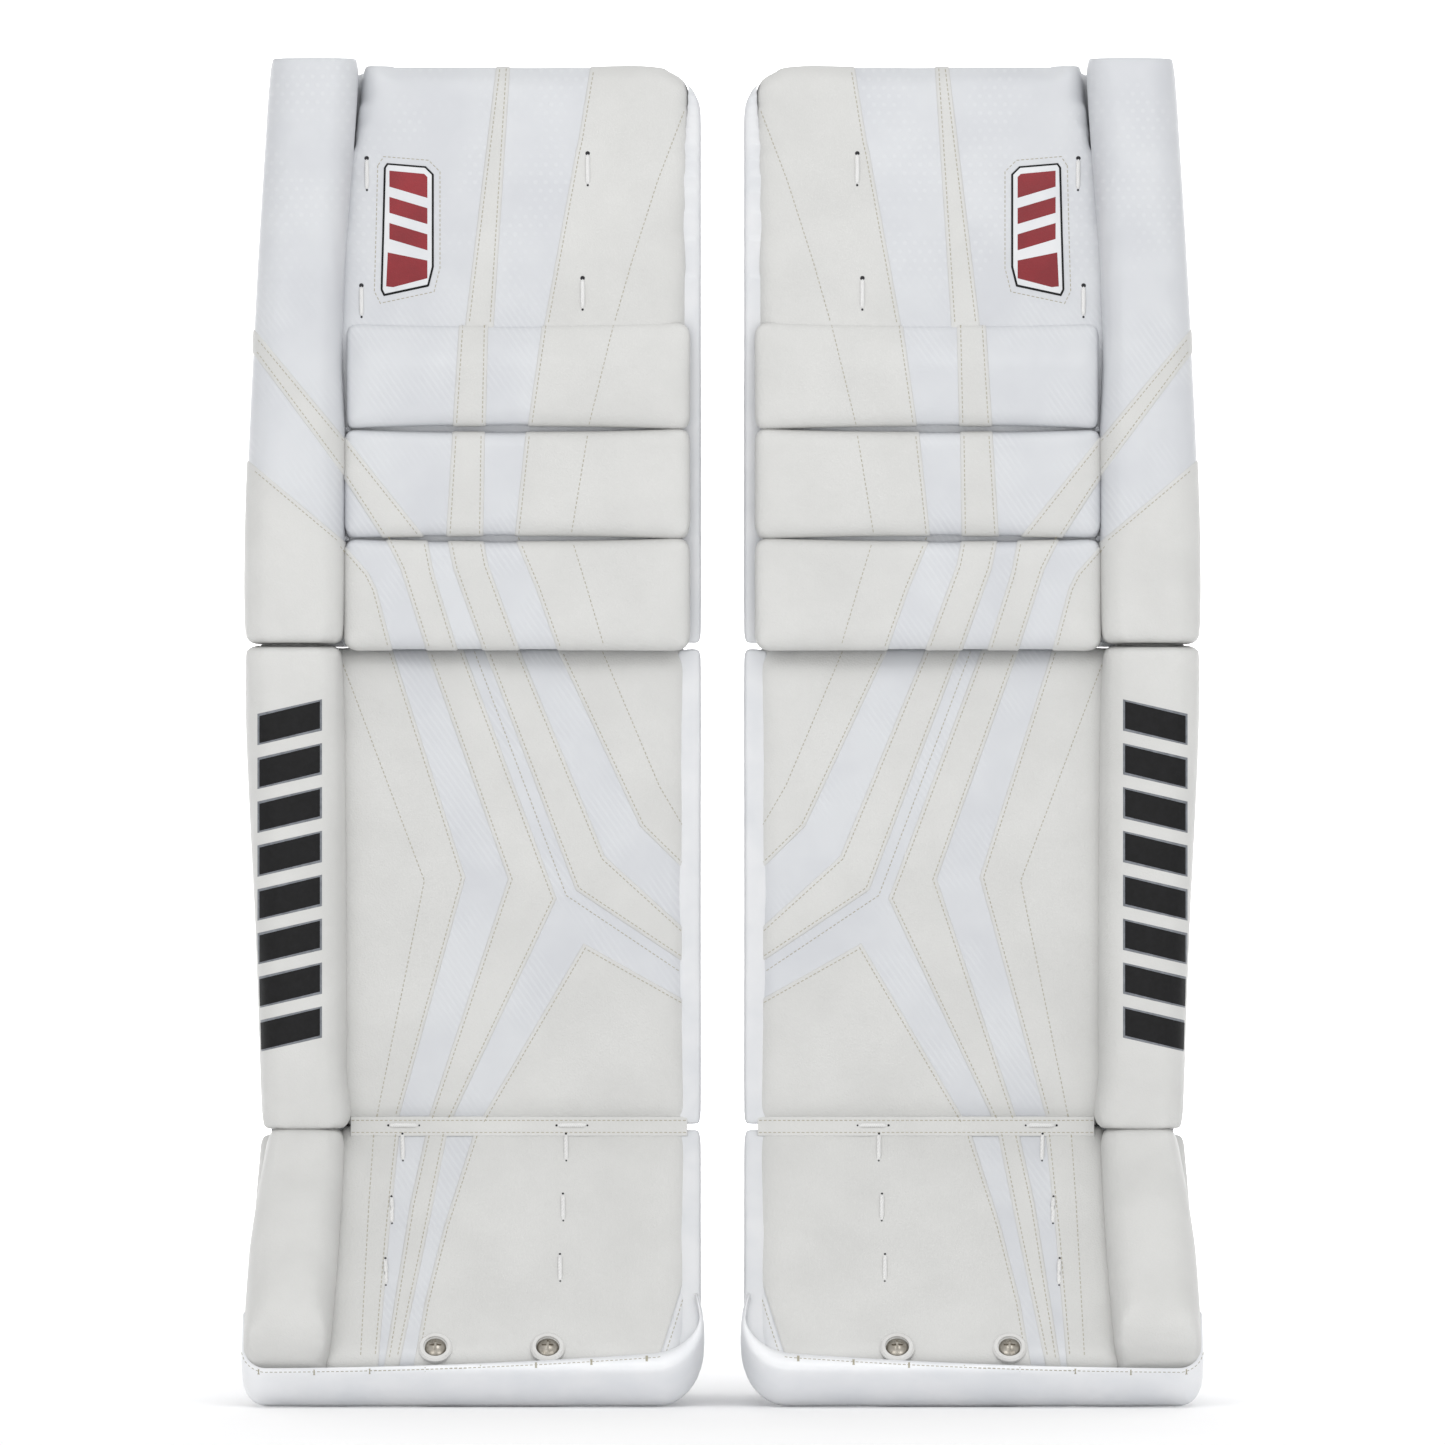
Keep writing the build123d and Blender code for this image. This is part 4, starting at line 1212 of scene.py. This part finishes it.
def toe_path():
    """(x, z, out x, out z) along the toe's outline, from the outer side round to the inner side."""
    path = [(TOE_OUTER, TOE_Z + 42.0, -1.0, 0.0), (TOE_OUTER, TOE_Z + 30.0, -1.0, 0.0)]
    across, along = OUTER_CORNER
    for step in range(11):
        turn = pi / 2 * step / 10
        x, z = TOE_OUTER + across * (1 - cos(turn)), TOE_Z + along * (1 - sin(turn))
        path.append((x, z, -cos(turn), -sin(turn)))
    left, right = TOE_OUTER + across, TOE_INNER - INNER_CORNER[0]
    for step in range(1, 40):
        path.append((left + (right - left) * step / 40, TOE_Z, 0.0, -1.0))
    across, along = INNER_CORNER
    for step in range(15):
        turn = pi / 2 * step / 14
        path.append((right + across * sin(turn), TOE_Z + along * (1 - cos(turn)), sin(turn), -cos(turn)))
    return path + [(TOE_INNER - 0.8, TOE_Z + 46.0, 1.0, 0.0), (TOE_INNER - 3.0, TOE_Z + 56.0, 1.0, 0.0)]


def binding_lap(x, out_z):
    """The binding's lap on the face: it widens towards the inner side and dies out round that corner."""
    part = (x - TOE_OUTER) / (TOE_INNER - TOE_OUTER)
    lap = BINDING_LAPS[0] + (BINDING_LAPS[1] - BINDING_LAPS[0]) * part ** 2
    return lap if x < 0 else 1.0 + (lap - 1.0) * max(-out_z, 0.0) ** 1.5


def binding_section(lap):
    """(out, y) points of the binding: over the face, round the toe and under it, then back inside."""
    over_face = [(-lap - 0.4, -1.2), (-lap, -3.1), (-lap * 0.5, -3.5), (-0.4, -3.2)]
    round_toe = [(0.6, -2.0), (1.2, 0.6), (1.5, 6.0), (1.7, 14.0), (1.7, 24.0), (1.3, 32.0), (0.5, 36.0)]
    under = [(-1.0, 37.4), (-4.0, 37.7), (-7.0, 37.5), (-7.6, 36.9)]
    inside = [(-6.6, 36.2), (-1.6, 35.6), (-0.9, 30.0), (-0.9, 8.0), (-1.4, 0.8)]
    return over_face + round_toe + under + inside + [(-lap * 0.6, 0.4), (-lap, 0.3)]


def toe_binding():
    shape = bmesh.new()
    grid = []
    for x, z, out_x, out_z in toe_path():
        sag = 0.35 * sin(x / 17.0) + 0.25 * sin(x / 7.3 + 1.0)       # it isn't quite straight
        ring = []
        for out, y in binding_section(binding_lap(x, out_z)):
            ring.append(shape.verts.new((x + out_x * out, y, z + out_z * (out + 0.3 * sag * (y > 2)))))
        grid.append(ring)
    tube(shape, grid)
    shape.transform(LEANING)
    return outward(shape)


TACK_PITCH = 34.0
BINDING_ROW = 1.7             # the stitch row's distance from the binding's upper edge


def binding_stitching(surface):
    """A fine stitch row just inside the binding's upper edge, and a tack across it now and then."""
    shape = bmesh.new()
    tree = BVHTree.FromBMesh(surface)
    line = []
    for x, z, out_x, out_z in toe_path()[3:-14]:
        row = BINDING_ROW - binding_lap(x, out_z)
        line.append(seen(LEANING @ Vector((x + out_x * row, -1.2, z + out_z * row))))
    half = STITCH_LENGTH / 2
    for x, z, run_x, run_z in along_line(line, STITCH_PITCH):
        start, normal = hit(x - run_x * half, z - run_z * half, tree)
        end, _ = hit(x + run_x * half, z + run_z * half, tree)
        if start and end and (end - start).length < 2 * STITCH_LENGTH:
            add_stitch(shape, start, end, normal)
    for x, z, _, _ in along_line(line, TACK_PITCH):
        start, normal = hit(x, z + 1.6, tree)
        end, _ = hit(x, z - 2.2, tree)
        if start and end and (end - start).length < 8.0:
            add_stitch(shape, start, end, normal, 0.9, 0.7)
    return shape


# ---- knots where the rolls' creases meet the face ----
def knot(shape, centre, size):
    """A small trefoil of thick thread, drawn tight."""
    points, normals = [], []
    for step in range(31):
        turn = 2 * pi * step / 30
        reach = 1 + 0.45 * cos(3 * turn)
        loop = Vector((cos(2 * turn) * reach, 0.5 * sin(3 * turn), sin(2 * turn) * reach))
        points.append(centre + loop * size * 0.5)
        normals.append(Vector((0, -1, 0)))
    ring = [(cos(turn) * size * 0.33, sin(turn) * size * 0.33) for turn in turns(6)]
    sweep(shape, points, normals, lambda part: ring)


def crease_knots(*places):
    """Knots at these (x, y, z, size)."""
    shape = bmesh.new()
    for x, y, z, size in places:
        knot(shape, Vector((x, y, z)), size)
    return outward(shape)


# ---- fillings behind the flex lines, and the rolls' necks ----
FILLING_LEFT, FILLING_RIGHT = -124.0, BAND_X - 4.0
FILLING_DEPTHS = (5.0, 14.0, 24.0, 34.0, DEPTH - 4.0)


def wedge_filling(height, low_slope, high_slope):
    """A soft filling between two sections behind their flex line, a little inside their sides."""
    shape = bmesh.new()
    grid = []
    for step in range(27):
        x = FILLING_LEFT + (FILLING_RIGHT - FILLING_LEFT) * step / 26
        ring = []
        for y in FILLING_DEPTHS:
            ring.append((y, height + 1.5 + y * tan(high_slope)))
        for y in (DEPTH - 3.0, DEPTH - 4.5, DEPTH - 3.0):
            ring.append((y - 1.5, height + (DEPTH - y) * 0.1))
        for y in reversed(FILLING_DEPTHS):
            ring.append((y, height - 1.5 - y * tan(low_slope)))
        grid.append([shape.verts.new((x, y, z)) for y, z in ring])
    tube(shape, grid)
    return outward(shape)


def roll_neck(height, middle_x, half_width):
    """The narrow tucked part between two lengths of the outer roll."""
    shape = bmesh.new()
    grid = []
    for z, swell in ((-9, 0.9), (-6, 0.96), (-3, 0.88), (0, 0.8), (3, 0.88), (6, 0.96), (9, 0.9)):
        ring = []
        for turn in turns(28):
            x, y = middle_x + half_width * swell * cos(turn), 3.0 + 12.0 * swell * sin(turn)
            ring.append(shape.verts.new((x, y, height + z)))
        grid.append(ring)
    tube(shape, grid)
    return outward(shape)


# ---- webbing straps on the leg side ----
CHANNEL_X, CHANNEL_Y = 6.0, 96.0          # centre of the round leg channel
STRAP_INNER = 72.4                        # a strap's inner radius
STRAP_SPACE = 2.6                         # the CAD strap's thickness
STRAP_THICK = 2.4
STRAP_START = 130.0                       # where a strap is sewn to its wing, in degrees
STRAP_ENDS = {"calf_straps": 65.0, "knee_strap": 20.5}
SLIDER_BARS = (-7.0, 0.0, 7.0)


def webbing(shape, path, low, high):
    """A woven strap: its (x, y, out x, out y) path swept with rolled edges."""
    middle, half = (low + high) / 2, (high - low) / 2
    thick = STRAP_THICK / 2
    section = [
        (-half, 0.0), (-half + 0.5, thick * 0.8), (-half + 2.0, thick), (0.0, thick * 0.85),
        (half - 2.0, thick), (half - 0.5, thick * 0.8), (half, 0.0),
    ]
    section += [(z, -out) for z, out in reversed(section[1:-1])]
    grid = []
    for x, y, out_x, out_y in path:
        grid.append([shape.verts.new((x + out_x * out, y + out_y * out, middle + z)) for z, out in section])
    tube(shape, grid)


def channel_path(end):
    """Steps round the channel to an angle in degrees, with the outward direction at each."""
    radius = STRAP_INNER + STRAP_SPACE / 2
    path = []
    for step in range(27):
        turn = radians(STRAP_START + (end - STRAP_START) * step / 26)
        path.append((CHANNEL_X + radius * cos(turn), CHANNEL_Y + radius * sin(turn), cos(turn), sin(turn)))
    return path


def boot_strap_path(low, high):
    """The same along an arc behind the heel, as long and as bowed as the CAD strap's box."""
    half = STRAP_SPACE / 2
    reach = (high.x - low.x - STRAP_SPACE) / 2
    bow = high.y - half - low.y - half
    bend = (reach ** 2 + bow ** 2) / (2 * bow)
    centre_y = high.y - half - bend
    widest = atan2(reach, bend - bow)
    path = []
    for step in range(33):
        turn = widest * (step / 16 - 1)
        path.append((bend * sin(turn), centre_y + bend * cos(turn), sin(turn), cos(turn)))
    return path


def slider(shape, place, out, low, high):
    """A moulded three-bar slider round a strap."""
    side = Vector((-out[1], out[0], 0))
    outward_axis = Vector((out[0], out[1], 0))
    centre = Vector((place[0], place[1], (low + high) / 2))
    half = (high - low) / 2 + 3.0
    bar = [(1.6 * cos(turn), 1.9 + 1.1 * sin(turn)) for turn in turns(8)]
    end_bar = [(1.8 * cos(turn), 1.3 + 1.5 * sin(turn)) for turn in turns(8)]
    for shift in SLIDER_BARS:
        points = [centre + side * shift + Vector((0, 0, half * (step / 6 - 1))) for step in range(13)]
        sweep(shape, points, [outward_axis] * len(points), lambda part: bar)
    for end in (-half, half):
        corner = centre + Vector((0, 0, end))
        points = [corner + side * (SLIDER_BARS[-1] * (step / 4 - 1)) for step in range(9)]
        sweep(shape, points, [outward_axis] * len(points), lambda part: end_bar)


def strap_stitching(shape, path, low, high):
    """A stitched box with a cross in it, on the strap's outer side."""
    (near_x, near_y, out_x, out_y), (far_x, far_y, _, _) = path[1], path[6]
    lift = STRAP_THICK / 2 + 0.1
    out = Vector((out_x, out_y, 0))
    bottom, top = low + 4.0, high - 4.0
    corners = [(near_x, near_y, bottom), (far_x, far_y, bottom), (far_x, far_y, top), (near_x, near_y, top)]
    for first, second in ((0, 1), (1, 2), (2, 3), (3, 0), (0, 2), (1, 3)):
        start, end = Vector(corners[first]) + out * lift, Vector(corners[second]) + out * lift
        count = max(int((end - start).length / 3.2), 1)
        for step in range(count):
            a = start.lerp(end, (step + 0.15) / count)
            b = start.lerp(end, (step + 0.8) / count)
            add_stitch(shape, a, b, out, 0.45, 0.5)


def strap_pieces(node, path, spans, clip_name):
    """A node's webbing, stitching and sliders, with a strap at each (lowest, highest) of the spans."""
    band, thread, clip = bmesh.new(), bmesh.new(), bmesh.new()
    x, y, out_x, out_y = path[len(path) * 2 // 3]
    for low, high in spans:
        webbing(band, path, low.z, high.z)
        strap_stitching(thread, path, low.z, high.z)
        slider(clip, (x, y), (out_x, out_y), low.z, high.z)
    pair(f"{node}_webbing", outward(band), [WEBBING], "webbing", node, (node,))
    pair(f"{node}_stitching", outward(thread), [THREAD], "webbing", node)
    pair(f"{node}_{clip_name}", outward(clip), [BLACK_PLASTIC], "black_plastic", node)


# ---- everything sewn on, and the pieces in pairs ----
band = break_band()
FRONT = BVHTree.FromBMesh(joined([front, band]))

seams = {name: bmesh.new() for name in LEATHER_LAYERS}
for item in PANELS:
    for line in item.stitch_lines:
        sew(seams[SECTION[item.base]], line)
for section, lines in STITCHES.items():
    for line in lines:
        sew(seams[section], line)
outer_ring = shrunk(BADGE, -3.6)
sew(seams["thigh"], outer_ring + outer_ring[:1])
thigh_laces, thigh_eyelets = lacing("thigh_lacing", (1.0, 0.5))
boot_laces, boot_eyelets = lacing("boot_lacing", (0.5, 0.4))
binding = toe_binding()
binding_thread = binding_stitching(binding)

for soft in SOFT:
    surface = BASES[soft.name]
    pair(soft.name, surface, soft.looks, soft.slot, soft.body, soft.replaces, soft.across)
for section, layers in LEATHER_LAYERS.items():
    pair(f"{section}_panels", joined(layers), [BEIGE, PAINTED_EDGE_SHADOW], "beige_leather", section)
    pair(f"{section}_stitching", seams[section], [THREAD], "white_leather", section)
pair("flex_band", band, [BEIGE], "beige_leather", "shin",
     across=("boot", (0, 0, BOOT_BREAK + 5.0), (0, 0, BOOT_BREAK - 2.0)))
pair("thigh_laces", thigh_laces, [LACE], "lace", "thigh", ("thigh_lacing",))
pair("thigh_eyelets", thigh_eyelets, [HOLE, PAINTED_EDGE_SHADOW], "white_leather", "thigh")
pair("boot_laces", boot_laces, [LACE], "lace", "boot", ("boot_lacing",))
pair("boot_eyelets", boot_eyelets, [HOLE, PAINTED_EDGE_SHADOW], "white_leather", "boot")
pair("toe_edge_binding", binding, [BINDING], "white_leather", "boot", ("toe_binding",))
pair("toe_edge_stitching", binding_thread, [THREAD], "white_leather", "boot")
pair("roll_knots", crease_knots((-78.0, -6.0, 464.0, 2.0)), [KNOT], "white_leather", "shin")
knee_knots = crease_knots((-77.5, -9.0, 527.5, 1.8), (-76.5, -9.0, 594.5, 2.0))
pair("knee_knots", knee_knots, [KNOT], "white_leather", "thigh")
boot_filling = wedge_filling(BOOT_BREAK, BACK_WEDGE, 0.0)
knee_filling = wedge_filling(KNEE_BREAK, 0.0, BACK_WEDGE)
pair("boot_flex_filling", boot_filling, [NYLON], "leg_side_nylon", "shin",
     across=("boot", (0, 0, BOOT_BREAK + 1.0), (0, 0, BOOT_BREAK - 4.0)))
pair("knee_flex_filling", knee_filling, [NYLON], "leg_side_nylon", "shin",
     across=("thigh", (0, 0, KNEE_BREAK - 1.0), (0, 0, KNEE_BREAK + 4.0)))
pair("boot_roll_neck", roll_neck(BOOT_BREAK, -103.0, 23.0), [BEIGE], "beige_leather", "shin",
     across=("boot", (0, 0, BOOT_BREAK + 7.0), (0, 0, BOOT_BREAK - 7.0)))
pair("knee_roll_neck", roll_neck(KNEE_BREAK, -109.0, 26.0), [BEIGE], "beige_leather", "shin",
     across=("thigh", (0, 0, KNEE_BREAK - 7.0), (0, 0, KNEE_BREAK + 7.0)))
for node, end in STRAP_ENDS.items():
    strap_pieces(node, channel_path(end), islands(node), "sliders")
boot_strap = pad_box("boot_strap")
strap_pieces("boot_strap", boot_strap_path(*boot_strap), [boot_strap], "slider")

# CAD pieces that stay as they are
KEPT = {"toe_screws": STEEL, "toe_washers": PLASTIC, "toe_bridge": BLACK_PLASTIC}
for node, look in KEPT.items():
    for side in ("right", "left"):
        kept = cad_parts[f"{side}_{node}"]
        kept.data.materials.clear()
        kept.data.materials.append(look)
pair("boot_gusset", joined(WHITE_LAYERS), [WHITE, PAINTED_EDGE_SHADOW], "white_leather", "boot")
pair("badge_border", badge_back, [INK, INK], "white_leather", "thigh")
pair("badge_patch", badge_front, [WHITE, WHITE], "white_leather", "thigh")
pair("badge_bars", badge_bars, [RED, RED], "white_leather", "thigh")
pair("roll_bar_borders", bar_borders, [OUTLINE, OUTLINE], "beige_leather", "shin")
pair("roll_bars", bar_prints, [INK, INK], "beige_leather", "shin")


# ---- floor, light and camera ----
def cyclorama():
    """A pale floor that curves up into a backdrop behind the pads."""
    shape = bmesh.new()
    half_width, front_y, back_y, bend, height = 12.0, -12.0, 9.5, 2.5, 7.0
    profile = [(front_y, 0.0)]
    for step in range(17):
        turn = pi / 2 * step / 16
        profile.append((back_y + bend * sin(turn), bend * (1 - cos(turn))))
    profile.append((back_y + bend, height))
    rows = [[shape.verts.new((x, y, z)) for x in (-half_width, half_width)] for y, z in profile]
    for low, high in zip(rows, rows[1:]):
        shape.faces.new((low[0], low[1], high[1], high[0]))
    mesh = bpy.data.meshes.new("studio_floor")
    shape.to_mesh(mesh)
    shape.free()
    mesh.shade_smooth()
    mesh.materials.append(plain("studio paper", srgb(250, 250, 250), srgb(247, 247, 248), 300.0, 0.9, 0.1))
    return new_object("studio_floor", mesh)


def area_light(name, place, target, size, power):
    light = bpy.data.lights.new(name, "AREA")
    light.shape = "RECTANGLE"
    light.size, light.size_y = size
    light.energy = power
    made = new_object(name, light)
    made.location = place
    made.rotation_euler = (Vector(target) - Vector(place)).to_track_quat("-Z", "Y").to_euler()
    return made


cyclorama()
MIDDLE = (0.0, 0.0, 0.42)
area_light("key", (-1.3, -4.0, 1.1), MIDDLE, (2.8, 2.4), 9.0)
area_light("high", (0.3, -2.6, 3.0), (0.0, -0.1, 0.1), (2.6, 1.6), 30.0)
for side in (-1, 1):
    area_light(f"low_{side}", (side * 1.15, -2.4, 0.3), (side * -0.1, -0.1, 0.05), (1.3, 0.5), 4.6)
area_light("backdrop", (0.0, 4.2, 5.2), (0.0, 9.5, 0.4), (9.0, 3.0), 1300.0)

world = bpy.data.worlds.new("studio")
bpy.context.scene.world = world
world.use_nodes = True
world.node_tree.nodes["Background"].inputs["Color"].default_value = (1.0, 1.0, 1.0, 1.0)
world.node_tree.nodes["Background"].inputs["Strength"].default_value = 0.85
bpy.context.scene.view_settings.view_transform = "Standard"

camera_data = bpy.data.cameras.new("camera")
camera_data.sensor_width = 36.0
camera_data.lens = 36.0 * EYE_DISTANCE / VIEW_WIDTH
camera_data.clip_end = 100.0
camera = new_object("camera", camera_data)
camera.location = (0.0, FACE_Y - EYE_DISTANCE, EYE_HEIGHT)
camera.rotation_euler = (pi / 2, 0.0, 0.0)
bpy.context.scene.camera = camera
